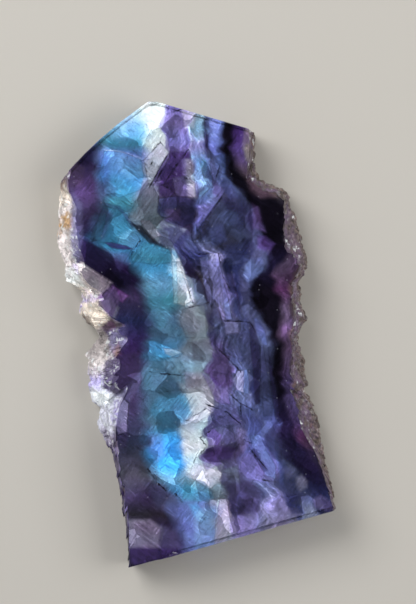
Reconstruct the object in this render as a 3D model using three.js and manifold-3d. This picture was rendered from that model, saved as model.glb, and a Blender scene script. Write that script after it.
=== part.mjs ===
// A slab of banded fluorite, sawn from a vein and polished, lying on its back face.
//
// Two broad faces are sawn parallel and polished. Four shorter cuts trim the slab: a long one across
// the foot, one on each shoulder, and a small one that blunts the point between them. What is left
// of the outline is the natural wall of the vein: on the left a crust of intergrown cubes, on the
// right a dark granular skin with nodules and pits. It is all one stone, so it is one solid.
//
// Millimetres, +Z up. The slab lies on Z = 0 with its long side along Y, and the origin is under
// the middle of its outline.
import * as THREE from "three";
import { mergeVertices } from "three/addons/utils/BufferGeometryUtils.js";
import Module from "manifold-3d";

const THICKNESS = 14;
const CHAMFER = 0.7; // polished off every sawn edge
const STEP = 1.25; // spacing of the stations along a rough edge
const OVERSHOOT = 60; // how far the saw cuts run past the stone on either side

// The saw cuts, as corners of the trimmed outline. The shoulder on the left is very slightly bowed.
const FOOT = { left: [-18.1, -63.2], right: [38.3, -47.3] };
const RIGHT_SHOULDER = { left: [-10.3, 63.0], right: [14.9, 55.6] };
const LEFT_SHOULDER = [[-12.7, 63.0], [-14.0, 62.1], [-20.3, 57.4], [-25.7, 52.9], [-29.7, 49.1], [-33.5, 45.1]];

// The rough edges: [x, y, reach]. x and y are the widest outline, and reach is how far the polished
// face stands in from it, so a long reach is a broad sloping wall and a short one is a steep wall.
// Both lists run anticlockwise and start and end past the saw cuts.
const RIGHT_EDGE = [
  [39.6, -51.5, 1.0], [38.3, -47.3, 1.0], [36.9, -40.5, 1.4], [35.6, -35.4, 2.4], [34.7, -31.0, 5.0],
  [34.2, -27.0, 5.4], [33.2, -22.7, 4.4], [31.9, -19.2, 3.8], [30.2, -16.2, 2.5], [30.4, -13.3, 3.8],
  [29.5, -9.8, 3.4], [29.7, -7.2, 3.2], [28.6, -3.8, 2.4], [27.7, -1.2, 1.6], [28.9, 1.6, 2.2],
  [30.2, 4.6, 3.6], [29.2, 7.2, 3.0], [28.4, 11.4, 2.4], [28.3, 14.6, 1.7], [29.7, 16.4, 1.9],
  [30.4, 19.6, 2.4], [29.6, 23.2, 3.6], [28.6, 27.6, 5.2], [27.3, 31.9, 4.2], [25.9, 35.4, 2.4],
  [25.4, 37.8, 2.0], [23.0, 40.2, 2.4], [19.8, 41.0, 2.4], [17.2, 42.3, 2.0], [16.3, 45.9, 1.8],
  [15.9, 48.2, 3.0], [16.3, 52.7, 2.7], [15.6, 55.4, 1.4], [14.2, 59.0, 1.0],
];
const POINT = [-12.0, 68.0, 1.0]; // of the rough block, above both shoulders
const LEFT_EDGE = [
  [-34.0, 48.0, 1.0], [-35.6, 43.6, 2.4], [-36.6, 41.4, 3.4], [-36.4, 38.6, 4.6], [-36.8, 35.8, 5.0],
  [-37.0, 31.9, 5.8], [-37.3, 27.6, 6.0], [-37.1, 24.4, 5.6], [-35.9, 21.3, 4.0], [-35.1, 19.0, 3.4],
  [-34.9, 15.6, 4.4], [-32.6, 13.6, 4.6], [-30.9, 11.9, 5.6], [-30.7, 8.8, 5.0], [-31.0, 5.9, 8.2],
  [-29.4, 3.3, 7.2], [-26.4, 1.6, 5.0], [-25.6, 0.2, 5.2], [-27.2, -3.0, 7.2], [-28.9, -7.0, 8.2],
  [-28.9, -10.6, 8.4], [-28.7, -15.4, 9.2], [-27.6, -18.2, 8.8], [-25.5, -19.8, 7.2], [-26.4, -23.2, 7.8],
  [-25.8, -26.6, 7.0], [-24.3, -28.9, 4.6], [-22.8, -32.0, 2.2], [-21.1, -39.2, 1.4], [-20.3, -44.6, 1.6],
  [-19.1, -50.4, 1.4], [-18.5, -56.6, 1.2], [-18.2, -61.0, 1.0], [-17.8, -67.0, 1.0],
];

// Down a rough edge, from the polished face to the back: [share of the reach, share of the thickness].
const WALL = [[1, 1], [0.8, 0.9], [0.52, 0.76], [0.26, 0.6], [0.07, 0.44], [0, 0.3], [0.08, 0.14], [0.24, 0]];

// The large crystals of the left edge: [x, y, z, size].
const LARGE_CUBES = [
  [-20.6, -27.4, 5.2, 6.0], [-19.6, -22.2, 6.8, 9.4], [-22.6, -15.2, 5.4, 8.6], [-22.8, -6.6, 5.8, 8.8],
  [-20.8, -0.8, 7.4, 6.4], [-24.4, 5.6, 6.2, 8.8], [-25.6, 11.0, 5.8, 7.0], [-29.2, 16.8, 5.4, 7.8],
  [-31.8, 25.4, 5.8, 7.4], [-32.4, 31.2, 7.4, 6.4], [-31.8, 36.8, 6.0, 6.6], [-32.4, 40.6, 8.0, 5.2],
];
const SMALL_CUBES = 84;
const NODULES = 54;
const PITS = 16;

// Two flat chips off the polished face in the lower left corner. Each breaks away along a straight
// line and falls by an angle, in degrees, on the right-hand side of the line as it is walked.
const CHIPS = [
  { from: [-20.8, -36.4], to: [-4.2, -57.9], fall: 9 },
  { from: [-22.5, -49.9], to: [-8.9, -51.3], fall: 15 },
];

// --- Number sequences -------------------------------------------------------------------------

// The nth number, from 0 to 1, of an even sequence: each is the last plus one irrational step.
const SEQUENCE_STEPS = [0.754878, 0.569840, 0.430160, 0.618034, 0.324718, 0.819173];
const evenly = (n, which) => ((n + 1) * SEQUENCE_STEPS[which]) % 1;
const between = (low, high, share) => low + (high - low) * share;

// A fixed scattered number from 0 to 1 for each lattice point.
function scatter(i, j, k) {
  const s = Math.sin(i * 127.1 + j * 311.7 + k * 74.7) * 43758.5453;
  return s - Math.floor(s);
}

// Smooth noise from -1 to 1 that changes over about one unit.
function noise(x, y, z) {
  const cell = [x, y, z].map(Math.floor);
  const [u, v, w] = [x, y, z].map((c, axis) => THREE.MathUtils.smoothstep(c - cell[axis], 0, 1));
  let sum = 0;
  for (let corner = 0; corner < 8; corner++) {
    const [i, j, k] = [corner & 1, (corner >> 1) & 1, corner >> 2];
    const weight = (i ? u : 1 - u) * (j ? v : 1 - v) * (k ? w : 1 - w);
    sum += weight * scatter(cell[0] + i, cell[1] + j, cell[2] + k);
  }
  return 2 * sum - 1;
}

// --- The rough block --------------------------------------------------------------------------

// Even stations along a list of [x, y, reach, grain]: grain is 0 on the left edge and 1 on the right.
function stationsAlong(edge, grain) {
  const stations = [];
  for (let i = 0; i + 1 < edge.length; i++) {
    const [a, b] = [edge[i], edge[i + 1]];
    const count = Math.max(1, Math.round(Math.hypot(b[0] - a[0], b[1] - a[1]) / STEP));
    for (let j = 0; j < count; j++) {
      const [x, y, reach] = a.map((value, axis) => between(value, b[axis], j / count));
      stations.push({ x, y, reach, grain });
    }
  }
  return stations;
}

// Each station's outward direction, averaged over its neighbours so that walls don't cross.
function withNormals(stations) {
  const spread = 3;
  const n = stations.length;
  return stations.map((station, i) => {
    const before = stations[(i - spread + n) % n];
    const after = stations[(i + spread) % n];
    const length = Math.hypot(after.x - before.x, after.y - before.y);
    return { ...station, nx: (after.y - before.y) / length, ny: (before.x - after.x) / length };
  });
}

// One point of the block's wall, roughened outwards: blocky on the left, finer on the right.
function wallPoint({ x, y, reach, grain, nx, ny }, [inward, height]) {
  const z = height * THICKNESS;
  const px = x - nx * reach * inward;
  const py = y - ny * reach * inward;
  const blocky = 0.7 * Math.round(1.6 * noise(px / 3.2, py / 3.2, z / 3.2)) + 0.3 * noise(px, py, z);
  const grainy = 0.55 * noise(px / 1.9, py / 1.9, z / 1.9) + 0.3 * noise(px / 0.9, py / 0.9, z / 0.9);
  const out = between(0.7 * blocky, grainy, grain);
  return [px + nx * out, py + ny * out, z];
}

// The closed surface of the block: one ring of stations for each step down the wall, and two caps.
function blockGeometry() {
  const stations = withNormals([
    ...stationsAlong(RIGHT_EDGE, 1),
    ...stationsAlong([RIGHT_EDGE.at(-1), POINT, LEFT_EDGE[0]], 0),
    ...stationsAlong(LEFT_EDGE, 0),
    ...stationsAlong([LEFT_EDGE.at(-1), RIGHT_EDGE[0]], 0),
  ]);
  const n = stations.length;
  const rings = WALL.map((step) => stations.map((station) => wallPoint(station, step)));
  const index = [];
  for (let row = 0; row + 1 < WALL.length; row++) {
    for (let i = 0; i < n; i++) {
      const [a, b] = [row * n + i, row * n + ((i + 1) % n)];
      index.push(a, a + n, b, b, a + n, b + n);
    }
  }
  const cap = (ring) => THREE.ShapeUtils.triangulateShape(ring.map(([x, y]) => new THREE.Vector2(x, y)), []);
  const lowest = (WALL.length - 1) * n;
  for (const [a, b, c] of cap(rings[0])) index.push(a, b, c);
  for (const [a, b, c] of cap(rings.at(-1))) index.push(lowest + a, lowest + c, lowest + b);
  const geometry = new THREE.BufferGeometry();
  geometry.setAttribute("position", new THREE.Float32BufferAttribute(rings.flat(2), 3));
  return geometry.setIndex(index);
}

// --- What grows on it -------------------------------------------------------------------------

// The place a given share of the way along a rough edge, with its outward direction.
function placeOn(edge, share) {
  const stations = stationsAlong(edge, 0);
  const i = Math.min(Math.floor(share * stations.length), stations.length - 2);
  const [here, next] = [stations[i], stations[i + 1]];
  const length = Math.hypot(next.x - here.x, next.y - here.y);
  return { ...here, nx: (next.y - here.y) / length, ny: (here.x - next.x) / length };
}

// A point on the wall at that place: height is a share of the thickness, sink is how deep it sits.
function onWall(place, height, sink) {
  const lower = WALL.findIndex(([, h]) => h <= height);
  const [a, b] = [WALL[lower - 1], WALL[lower]];
  const inward = between(a[0], b[0], (a[1] - height) / (a[1] - b[1])) * place.reach + sink;
  return [place.x - place.nx * inward, place.y - place.ny * inward, height * THICKNESS];
}

function placed(geometry, [x, y, z], tilt, lean, turn) {
  const pose = new THREE.Object3D();
  pose.position.set(x, y, z);
  pose.rotation.set(tilt, lean, turn);
  pose.updateMatrix();
  return geometry.applyMatrix4(pose.matrix);
}

// A crystal of the crust. Neighbours grew nearly parallel, so how they are tipped and turned drifts
// slowly along the edge, with a little of each one's own.
function cube(at, size, own) {
  const drift = [3.1, 17.7, 41.3].map((seed) => noise(at[0] / 11, at[1] / 11, seed));
  const [tilt, lean, turn] = drift.map((d, axis) => [0.5, 0.6, 0.9][axis] * d + 0.24 * (own[axis] - 0.5));
  return placed(new THREE.BoxGeometry(size, size, size), at, 0.5 + tilt, 0.6 + lean, turn);
}

const largeCubes = () =>
  LARGE_CUBES.map(([x, y, z, size], n) => cube([x, y, z], size, [evenly(n, 0), evenly(n, 1), evenly(n, 2)]));

function smallCubes() {
  const crusted = LEFT_EDGE.slice(1, 28); // below it the left edge is a plain fracture
  return Array.from({ length: SMALL_CUBES }, (_, n) => {
    const size = between(1.8, 4.4, evenly(n, 1) ** 2);
    const at = onWall(placeOn(crusted, evenly(n, 0)), between(0.12, 0.9, evenly(n, 2)), size * 0.55);
    return cube(at, size, [evenly(n, 3), evenly(n, 4), evenly(n, 5)]);
  });
}

function nodules() {
  return Array.from({ length: NODULES }, (_, n) => {
    const radius = between(0.7, 1.5, evenly(n, 1) ** 2);
    const at = onWall(placeOn(RIGHT_EDGE.slice(3), evenly(n, 0)), between(0.1, 0.88, evenly(n, 2)), radius * 0.4);
    return placed(new THREE.IcosahedronGeometry(radius, 0), at, evenly(n, 3) * 3, 0, evenly(n, 4) * 3);
  });
}

function pits() {
  return Array.from({ length: PITS }, (_, n) => {
    const radius = between(0.9, 1.5, evenly(n, 5));
    const at = onWall(placeOn(RIGHT_EDGE.slice(3), evenly(n, 4)), between(0.25, 0.8, evenly(n, 3)), -radius * 0.35);
    return placed(new THREE.IcosahedronGeometry(radius, 0), at, evenly(n, 0) * 3, 0, evenly(n, 2) * 3);
  });
}

// --- Sawing and joining -----------------------------------------------------------------------

// Where the line through two points stands at x.
const lineAt = ([x0, y0], [x1, y1], x) => y0 + ((y1 - y0) * (x - x0)) / (x1 - x0);

// What the saw leaves: a plate as thick as the slab, with a chamfer all round.
function sawnPlate() {
  const far = OVERSHOOT;
  const outline = [
    [-far, lineAt(FOOT.left, FOOT.right, -far)],
    [far, lineAt(FOOT.left, FOOT.right, far)],
    [far, lineAt(RIGHT_SHOULDER.left, RIGHT_SHOULDER.right, far)],
    RIGHT_SHOULDER.left,
    ...LEFT_SHOULDER,
    [-far, lineAt(LEFT_SHOULDER.at(-1), LEFT_SHOULDER.at(-2), -far)],
  ];
  const shape = new THREE.Shape(outline.map(([x, y]) => new THREE.Vector2(x, y)));
  const plate = new THREE.ExtrudeGeometry(shape, {
    depth: THICKNESS - 2 * CHAMFER,
    bevelThickness: CHAMFER,
    bevelSize: CHAMFER,
    bevelOffset: -CHAMFER,
    bevelSegments: 1,
  });
  return plate.translate(0, 0, CHAMFER);
}

// What a chip took away: a block whose underside starts at the line it broke along and slopes down.
function chip({ from, to, fall }) {
  const [dx, dy] = [to[0] - from[0], to[1] - from[1]];
  const length = Math.hypot(dx, dy);
  const block = new THREE.BoxGeometry(length, 30, 10).translate(length / 2, -15, 5);
  block.rotateX(THREE.MathUtils.degToRad(fall)).rotateZ(Math.atan2(dy, dx));
  return block.translate(from[0], from[1], THICKNESS);
}

const wasm = await Module();
wasm.setup();

function solid(geometry) {
  const bare = new THREE.BufferGeometry();
  bare.setAttribute("position", geometry.getAttribute("position"));
  if (geometry.index) bare.setIndex(geometry.index);
  const merged = mergeVertices(bare, 1e-4);
  return new wasm.Manifold(
    new wasm.Mesh({
      numProp: 3,
      vertProperties: new Float32Array(merged.attributes.position.array),
      triVerts: new Uint32Array(merged.index.array),
    }),
  );
}

const joined = (geometries) => wasm.Manifold.union(geometries.map(solid));

function geometryOf(manifold) {
  const mesh = manifold.getMesh();
  const geometry = new THREE.BufferGeometry();
  geometry.setAttribute("position", new THREE.BufferAttribute(mesh.vertProperties, 3));
  geometry.setIndex(new THREE.BufferAttribute(mesh.triVerts, 1));
  geometry.computeVertexNormals();
  return geometry;
}

function slabGeometry() {
  const grown = joined([blockGeometry(), ...largeCubes(), ...smallCubes(), ...nodules()]);
  const sawn = grown.subtract(joined(pits())).intersect(solid(sawnPlate()));
  const geometry = geometryOf(sawn.subtract(joined(CHIPS.map(chip))));
  geometry.computeBoundingBox();
  const middle = geometry.boundingBox.getCenter(new THREE.Vector3());
  return geometry.translate(-middle.x, -middle.y, 0);
}

const fluorite = new THREE.MeshStandardMaterial({ color: 0x4a5590, roughness: 0.12, metalness: 0 });

const slab = new THREE.Mesh(slabGeometry(), fluorite);
slab.name = "fluorite_slab";

const part = new THREE.Group();
part.add(slab);

export default part;
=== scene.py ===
import math

import bpy
import numpy as np
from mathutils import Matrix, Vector


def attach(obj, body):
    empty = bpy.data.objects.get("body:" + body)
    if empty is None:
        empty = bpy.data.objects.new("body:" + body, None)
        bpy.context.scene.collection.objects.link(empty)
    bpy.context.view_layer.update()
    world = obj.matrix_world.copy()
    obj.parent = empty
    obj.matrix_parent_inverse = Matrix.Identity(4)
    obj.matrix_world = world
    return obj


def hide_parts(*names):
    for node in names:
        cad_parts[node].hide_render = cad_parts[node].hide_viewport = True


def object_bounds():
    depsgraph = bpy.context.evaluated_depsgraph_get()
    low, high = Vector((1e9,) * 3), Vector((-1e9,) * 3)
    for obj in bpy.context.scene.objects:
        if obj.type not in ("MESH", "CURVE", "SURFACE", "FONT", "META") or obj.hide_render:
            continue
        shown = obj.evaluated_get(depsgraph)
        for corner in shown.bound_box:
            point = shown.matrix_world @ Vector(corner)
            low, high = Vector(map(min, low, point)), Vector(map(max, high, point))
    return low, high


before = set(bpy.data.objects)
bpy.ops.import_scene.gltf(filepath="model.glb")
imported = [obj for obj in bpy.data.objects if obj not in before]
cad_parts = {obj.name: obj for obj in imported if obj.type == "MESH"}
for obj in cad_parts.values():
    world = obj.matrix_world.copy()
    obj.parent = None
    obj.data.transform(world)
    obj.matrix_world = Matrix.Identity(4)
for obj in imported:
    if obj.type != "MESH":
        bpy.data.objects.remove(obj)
cadBox = [list(corner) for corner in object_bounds()]
print("frame loaded")

wholeTurn = 2 * math.pi
evenSteps = [0.754878, 0.569840, 0.430160, 0.618034, 0.324718, 0.819173]


def evenly(n, which):  # nth number, 0 to 1, of an even sequence: n + 1 irrational steps, less the whole turns
    return ((n + 1) * evenSteps[which]) % 1


def scatter(i, j, k):  # a fixed scattered number from 0 to 1 at a lattice point: the fraction of a large sine
    s = np.sin(i * 127.1 + j * 311.7 + k * 74.7) * 43758.5453
    return s - np.floor(s)


def smoothNoise(x, y, z):  # from -1 to 1: a cell's eight corner numbers, blended by smoothstep of the place
    cell = [np.floor(c) for c in (x, y, z)]
    u, v, w = [t * t * (3 - 2 * t) for t in (x - cell[0], y - cell[1], z - cell[2])]
    total = 0
    for i, j, k in np.ndindex(2, 2, 2):
        weight = (u if i else 1 - u) * (v if j else 1 - v) * (w if k else 1 - w)
        total = total + weight * scatter(cell[0] + i, cell[1] + j, cell[2] + k)
    return 2 * total - 1


def cellDistance(x, y, z):  # distance to the nearest of one scattered point in each unit cell
    cell = [np.floor(c) for c in (x, y, z)]
    nearest = np.full(np.shape(x), 9.0)
    for i, j, k in np.ndindex(3, 3, 3):
        a, b, c = cell[0] + i - 1, cell[1] + j - 1, cell[2] + k - 1
        dx = a + scatter(a, b, c) - x
        dy = b + scatter(b, c + 31, a) - y
        dz = c + scatter(c + 57, a, b) - z
        nearest = np.minimum(nearest, np.sqrt(dx * dx + dy * dy + dz * dz))
    return nearest


slab = {  # in millimetres
    "thickness": 14.0,
    "chamfer": 0.2,
    "axis": (-1.0, 3.0),  # the upright line that the rim is measured out from
    "foot": [(-18.1, -63.2), (38.3, -47.3)],  # the saw cuts, as the trimmed outline's corners
    "rightShoulder": [(14.9, 55.6), (-10.3, 63.0)],
    "leftShoulder": [
        (-12.7, 63.0), (-14.0, 62.1), (-20.3, 57.4), (-25.7, 52.9), (-29.7, 49.1), (-33.5, 45.1),
    ],
    "rightEdge": [  # the rough edges: x, y and how far the polished face stands in from there
        (39.6, -51.5, 1.0), (38.3, -47.3, 1.0), (36.9, -40.5, 1.4), (35.6, -35.4, 2.4), (34.7, -31.0, 5.0),
        (34.2, -27.0, 5.4), (33.2, -22.7, 4.4), (31.9, -19.2, 3.8), (30.2, -16.2, 2.5), (30.4, -13.3, 3.8),
        (29.5, -9.8, 3.4), (29.7, -7.2, 3.2), (28.6, -3.8, 2.4), (27.7, -1.2, 1.6), (28.9, 1.6, 2.2),
        (30.2, 4.6, 3.6), (29.2, 7.2, 3.0), (28.4, 11.4, 2.4), (28.3, 14.6, 1.7), (29.7, 16.4, 1.9),
        (30.4, 19.6, 2.4), (29.6, 23.2, 3.6), (28.6, 27.6, 5.2), (27.3, 31.9, 4.2), (25.9, 35.4, 2.4),
        (25.4, 37.8, 2.0), (23.0, 40.2, 2.4), (19.8, 41.0, 2.4), (17.2, 42.3, 2.0), (16.3, 45.9, 1.8),
        (15.9, 48.2, 3.0), (16.3, 52.7, 2.7), (15.6, 55.4, 1.4), (14.2, 59.0, 1.0),
    ],
    "point": (-12.0, 68.0, 1.0),  # of the rough block, above both shoulders
    "leftEdge": [
        (-34.0, 48.0, 1.0), (-35.6, 43.6, 2.4), (-36.6, 41.4, 3.4), (-36.4, 38.6, 4.6), (-36.8, 35.8, 5.0),
        (-37.0, 31.9, 5.8), (-37.3, 27.6, 6.0), (-37.1, 24.4, 5.6), (-35.9, 21.3, 4.0), (-35.1, 19.0, 3.4),
        (-34.9, 15.6, 4.4), (-32.6, 13.6, 4.6), (-30.9, 11.9, 5.6), (-30.7, 8.8, 5.0), (-31.0, 5.9, 8.2),
        (-29.4, 3.3, 7.2), (-26.4, 1.6, 5.0), (-25.6, 0.2, 5.2), (-27.2, -3.0, 7.2), (-28.9, -7.0, 8.2),
        (-28.9, -10.6, 8.4), (-28.7, -15.4, 9.2), (-27.6, -18.2, 8.8), (-25.5, -19.8, 7.2),
        (-26.4, -23.2, 7.8), (-25.8, -26.6, 7.0), (-24.3, -28.9, 4.6), (-22.8, -32.0, 2.2),
        (-21.1, -39.2, 1.4), (-20.3, -44.6, 1.6), (-19.1, -50.4, 1.4), (-18.5, -56.6, 1.2),
        (-18.2, -61.0, 1.0), (-17.8, -67.0, 1.0),
    ],
    "wall": [  # up a rough wall: share of the thickness, and share of that reach
        (0, 0.24), (0.14, 0.08), (0.3, 0), (0.44, 0.07), (0.6, 0.26), (0.76, 0.52), (0.9, 0.8), (1, 1),
    ],
    "chips": [  # off the polished face: where each one's edge starts and ends, and its fall in degrees
        ((-20.8, -36.4), (-4.2, -57.9), 9), ((-22.5, -49.9), (-8.9, -51.3), 15),
    ],
    "roughStep": 0.27,  # spacing of the mesh along a rough edge and along a sawn one
    "sawnStep": 0.9,
    "wallRows": (35, 15),  # from the face down to the wall's widest height, and on to the back
    "widest": 0.3,  # that height, as a share of the thickness
    "faceRows": (12, 5, 6),  # from the middle to the first chip, across it, and on to the rim
    "uncut": 0.7,  # share of the way to the rim where the face's rows change on a line that meets no chip
    "backRows": 5,
    "spread": 9,  # stations to either side that the rim's direction is taken over
    "facing": 0.5,  # the least that the rim faces away from the axis, as a cosine
    "notch": 0.8,  # how much deeper than its neighbours a place in the rough wall may be
    "window": 25,  # stations that count as neighbours
    "sharpAngle": 24,  # degrees between faces that aren't shaded as one
    "chipMask": 0.02,  # depth from which the face counts as chipped, and height above which it is the face
    "faceAbove": 2,
    "onRim": 0.6,  # share of a quad's corners from which it takes the crust's finish
}

relief = {  # of the rough walls: sizes in millimetres, and how far each sort stands out
    "blockSize": 3.2,  # on the left
    "blockSteps": 1.6,
    "blocks": 0.7,
    "blockGrain": 0.3,
    "left": 0.7,
    "waveSize": 1.9,  # on the right
    "waves": 0.55,
    "rippleSize": 0.9,
    "ripples": 0.3,
    "lumpSize": 1.1,
    "lumps": 0.5,
    "grainSize": 0.55,
    "grains": 0.22,
}

crust = {
    "largeCubes": [  # x, y, z and size
        (-20.6, -27.4, 5.2, 6.0), (-19.6, -22.2, 6.8, 9.4), (-22.6, -15.2, 5.4, 8.6), (-22.8, -6.6, 5.8, 8.8),
        (-20.8, -0.8, 7.4, 6.4), (-24.4, 5.6, 6.2, 8.8), (-25.6, 11.0, 5.8, 7.0), (-29.2, 16.8, 5.4, 7.8),
        (-31.8, 25.4, 5.8, 7.4), (-32.4, 31.2, 7.4, 6.4), (-31.8, 36.8, 6.0, 6.6), (-32.4, 40.6, 8.0, 5.2),
    ],
    "step": 1.25,  # spacing of the places that the things below sit at
    "smallCubes": {
        "count": 84,
        "size": (1.8, 2.6, 2),  # least, range above it, and power: a higher one makes more small ones
        "height": (0.12, 0.78),  # lowest, and range above it, as shares of the thickness
        "sunk": 0.55,  # share of the size that lies inside the wall
        "sequences": (0, 1, 2),  # of the places along the edge, the sizes and the heights
        "turns": (3, 4, 5),
    },
    "fineCubes": {
        "count": 520,
        "size": (0.7, 1.3, 2),
        "height": (0.08, 0.9),
        "sunk": 0.3,
        "sequences": (3, 5, 4),
        "turns": (0, 1, 2),
    },
    "nodules": {
        "count": 54, "size": (0.7, 0.8, 2), "height": (0.1, 0.78), "sunk": 0.4, "sequences": (0, 1, 2),
    },
    "pits": {
        "count": 16, "size": (0.9, 0.6, 1), "height": (0.25, 0.55), "sunk": -0.35, "sequences": (4, 5, 3),
    },
    "crusted": slice(1, 28),  # the stretch of the left edge with cubes, and of the right one with nodules
    "grained": slice(3, None),
    "gap": 0.3,  # how far off the wall a cube may start and still count as grown on it
    "cubeReach": 0.9,  # how far to either side a thing is looked for, as a share of its size
    "ballReach": 2.16,
    "lie": (0.5, 0.6, 0.0),  # how the cubes are tipped about X, Y and Z, in radians
    "swing": (0.5, 0.6, 0.9),  # how far that drifts along the edge, over how many millimetres
    "swingLength": 11,
    "sway": 0.24,  # and how far each has a tip of its own
    "colours": [  # of the left edge, by y: the crust's own colours, with the stops from y -20 to -28.5 made lighter, painted light that makes up for the shade on the sloping wall there
        (50, "violet"), (45, "taupe"), (40.5, "taupe"), (38, "cream"), (33, "shell"), (30.5, "tan"),
        (27, "shell"), (19, "shell"), (15, "frost"), (12, "cream"), (8.5, "heather"), (6, "cream"),
        (3, "umber"), (0.5, "ash"), (-4, "ash"), (-8, "shell"), (-13, "lavender"), (-16, "mist"),
        # painted light: the mist and pearl stops from -20 to -28.5 are set lighter to offset the shade on the
        # sloping wall
        (-20, "mist"), (-25, "mist"), (-28.5, "pearl"), (-32, "violet"), (-60, "ink"),
    ],
}


def along(edge, step):  # even stations on a list of points: each stretch in equal parts, less its last point
    edge = np.array(edge, float)
    stations = []
    for a, b in zip(edge, edge[1:]):
        count = max(1, math.floor(math.hypot(*(b - a)[:2]) / step + 0.5))
        stations.append(a + (b - a) * (np.arange(count) / count)[:, None])
    return np.concatenate(stations)


def roughOutline():  # x, y, reach and grain round the untrimmed block, anticlockwise; grain is 1 on the right
    right, left, step = slab["rightEdge"], slab["leftEdge"], slab["roughStep"]
    parts = [along(right, step), along([right[-1], slab["point"], left[0]], slab["sawnStep"])]
    parts += [along(left, step), along([left[-1], right[0]], slab["sawnStep"])]
    grain = np.concatenate([np.full(len(part), float(i == 0)) for i, part in enumerate(parts)])
    return np.column_stack([np.concatenate(parts), grain])


def sawnCorners():
    return np.array([*slab["foot"], *slab["rightShoulder"], *slab["leftShoulder"]])


def cutLines():  # each saw cut's outward direction and its distance from the axis
    corners = sawnCorners()
    pairs = [(0, 1), (2, 3), (3, 4)] + [(i, i + 1) for i in range(4, len(corners) - 1)]
    lines = []
    for a, b in [(corners[i], corners[j]) for i, j in pairs]:
        outward = np.array([b[1] - a[1], a[0] - b[0]]) / np.linalg.norm(b - a)
        lines.append((outward, outward @ (a - slab["axis"])))
    return lines


def chipDepth(x, y):  # how far the chips lower the polished face: distance past each line times its slope
    depth = np.zeros(np.shape(x))
    for a, b, fall in slab["chips"]:
        heading = np.array(b) - a
        length = np.linalg.norm(heading)
        ahead = ((x - a[0]) * heading[0] + (y - a[1]) * heading[1]) / length
        past = ((x - a[0]) * heading[1] - (y - a[1]) * heading[0]) / length
        beside = (ahead > 0) & (ahead < length)
        depth = np.maximum(depth, np.where(beside, past, 0) * math.tan(math.radians(fall)))
    return depth


def turned(tilt, lean, turn):  # rotation about Z, then Y, then X, as a matrix: the product of the three
    cx, cy, cz = np.cos([tilt, lean, turn])
    sx, sy, sz = np.sin([tilt, lean, turn])
    aboutX = np.array([[1, 0, 0], [0, cx, -sx], [0, sx, cx]])
    aboutY = np.array([[cy, 0, sy], [0, 1, 0], [-sy, 0, cy]])
    aboutZ = np.array([[cz, -sz, 0], [sz, cz, 0], [0, 0, 1]])
    return aboutX @ aboutY @ aboutZ


def cube(at, size, own):  # a crystal's centre, size and turn: its lie, a slow drift by place, and its own tip
    x, y = at[0] / crust["swingLength"], at[1] / crust["swingLength"]
    drift = [float(smoothNoise(x, y, seed)) for seed in (3.1, 17.7, 41.3)]
    tips = [swing * d + crust["sway"] * (o - 0.5) for swing, d, o in zip(crust["swing"], drift, own)]
    return np.array(at), size, turned(*np.add(crust["lie"], tips))


def onWall(edge, share, height, sink):  # a point a share of the way along an edge, at a height, sunk inwards
    stations = along(edge, crust["step"])
    i = min(int(share * len(stations)), len(stations) - 2)
    (x, y, reach), (nextX, nextY, _) = stations[i], stations[i + 1]
    length = math.hypot(nextX - x, nextY - y)
    inward = reach * np.interp(height, *zip(*slab["wall"])) + sink
    return (x - (nextY - y) / length * inward, y + (nextX - x) / length * inward, height * slab["thickness"])


def scattered(kind, edge):  # each thing of a kind: its number, place and size, from the kind's even sequences
    least, more, power = kind["size"]
    lowest, rise = kind["height"]
    for n in range(kind["count"]):
        share, large, high = [evenly(n, which) for which in kind["sequences"]]
        size = least + more * large**power
        yield n, onWall(edge, share, lowest + rise * high, size * kind["sunk"]), size


def crustCubes():  # the large cubes, where they are listed, and the smaller ones, scattered over the crust
    cubes = []
    for n, (*at, size) in enumerate(crust["largeCubes"]):
        cubes.append(cube(at, size, [evenly(n, i) for i in range(3)]))
    for kind in (crust["smallCubes"], crust["fineCubes"]):
        for n, at, size in scattered(kind, slab["leftEdge"][crust["crusted"]]):
            cubes.append(cube(at, size, [evenly(n, i) for i in kind["turns"]]))
    return cubes


def rimStations():  # the outline's columns by angle about the axis, with a station at each sawn corner too
    outline = roughOutline()
    corners = sawnCorners()
    axis = slab["axis"]
    angles = np.unwrap(np.arctan2(outline[:, 1] - axis[1], outline[:, 0] - axis[0]))
    cornerAngles = np.arctan2(corners[:, 1] - axis[1], corners[:, 0] - axis[0])
    cornerAngles += wholeTurn * np.ceil((angles[0] - cornerAngles) / wholeTurn)
    stations = np.sort(np.concatenate([angles, cornerAngles]))
    return stations, [np.interp(stations, angles, column, period=wholeTurn) for column in outline.T]


def wallRelief(x, y, z, grain):  # stepped noise on the left; on the right two noises, and two sorts of cells
    def noiseOf(size):
        return smoothNoise(x / size, y / size, z / size)

    def cellsOf(size):
        return 0.5 - cellDistance(x / size, y / size, z / size)

    steps = np.floor(relief["blockSteps"] * noiseOf(relief["blockSize"]) + 0.5)
    blocky = relief["blocks"] * steps + relief["blockGrain"] * noiseOf(1)
    wavy = relief["waves"] * noiseOf(relief["waveSize"]) + relief["ripples"] * noiseOf(relief["rippleSize"])
    lumps = relief["lumps"] * cellsOf(relief["lumpSize"])
    grains = relief["grains"] * cellsOf(relief["grainSize"])
    return (1 - grain) * relief["left"] * blocky + grain * (wavy + lumps + grains)


def near(angles, at, size):  # the stations whose line out from the axis passes close enough to touch a thing
    dx, dy = at[0] - slab["axis"][0], at[1] - slab["axis"][1]
    away = (angles - math.atan2(dy, dx) + np.pi) % wholeTurn - np.pi
    return np.flatnonzero(np.abs(away) < size / math.hypot(dx, dy))


def boxCrossings(start, heading, size):  # where rays enter and leave a box: last near side, first far side
    with np.errstate(divide="ignore"):
        a, b = (-size / 2 - start) / heading, (size / 2 - start) / heading
    return np.minimum(a, b).max(-1), np.maximum(a, b).min(-1)


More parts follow.
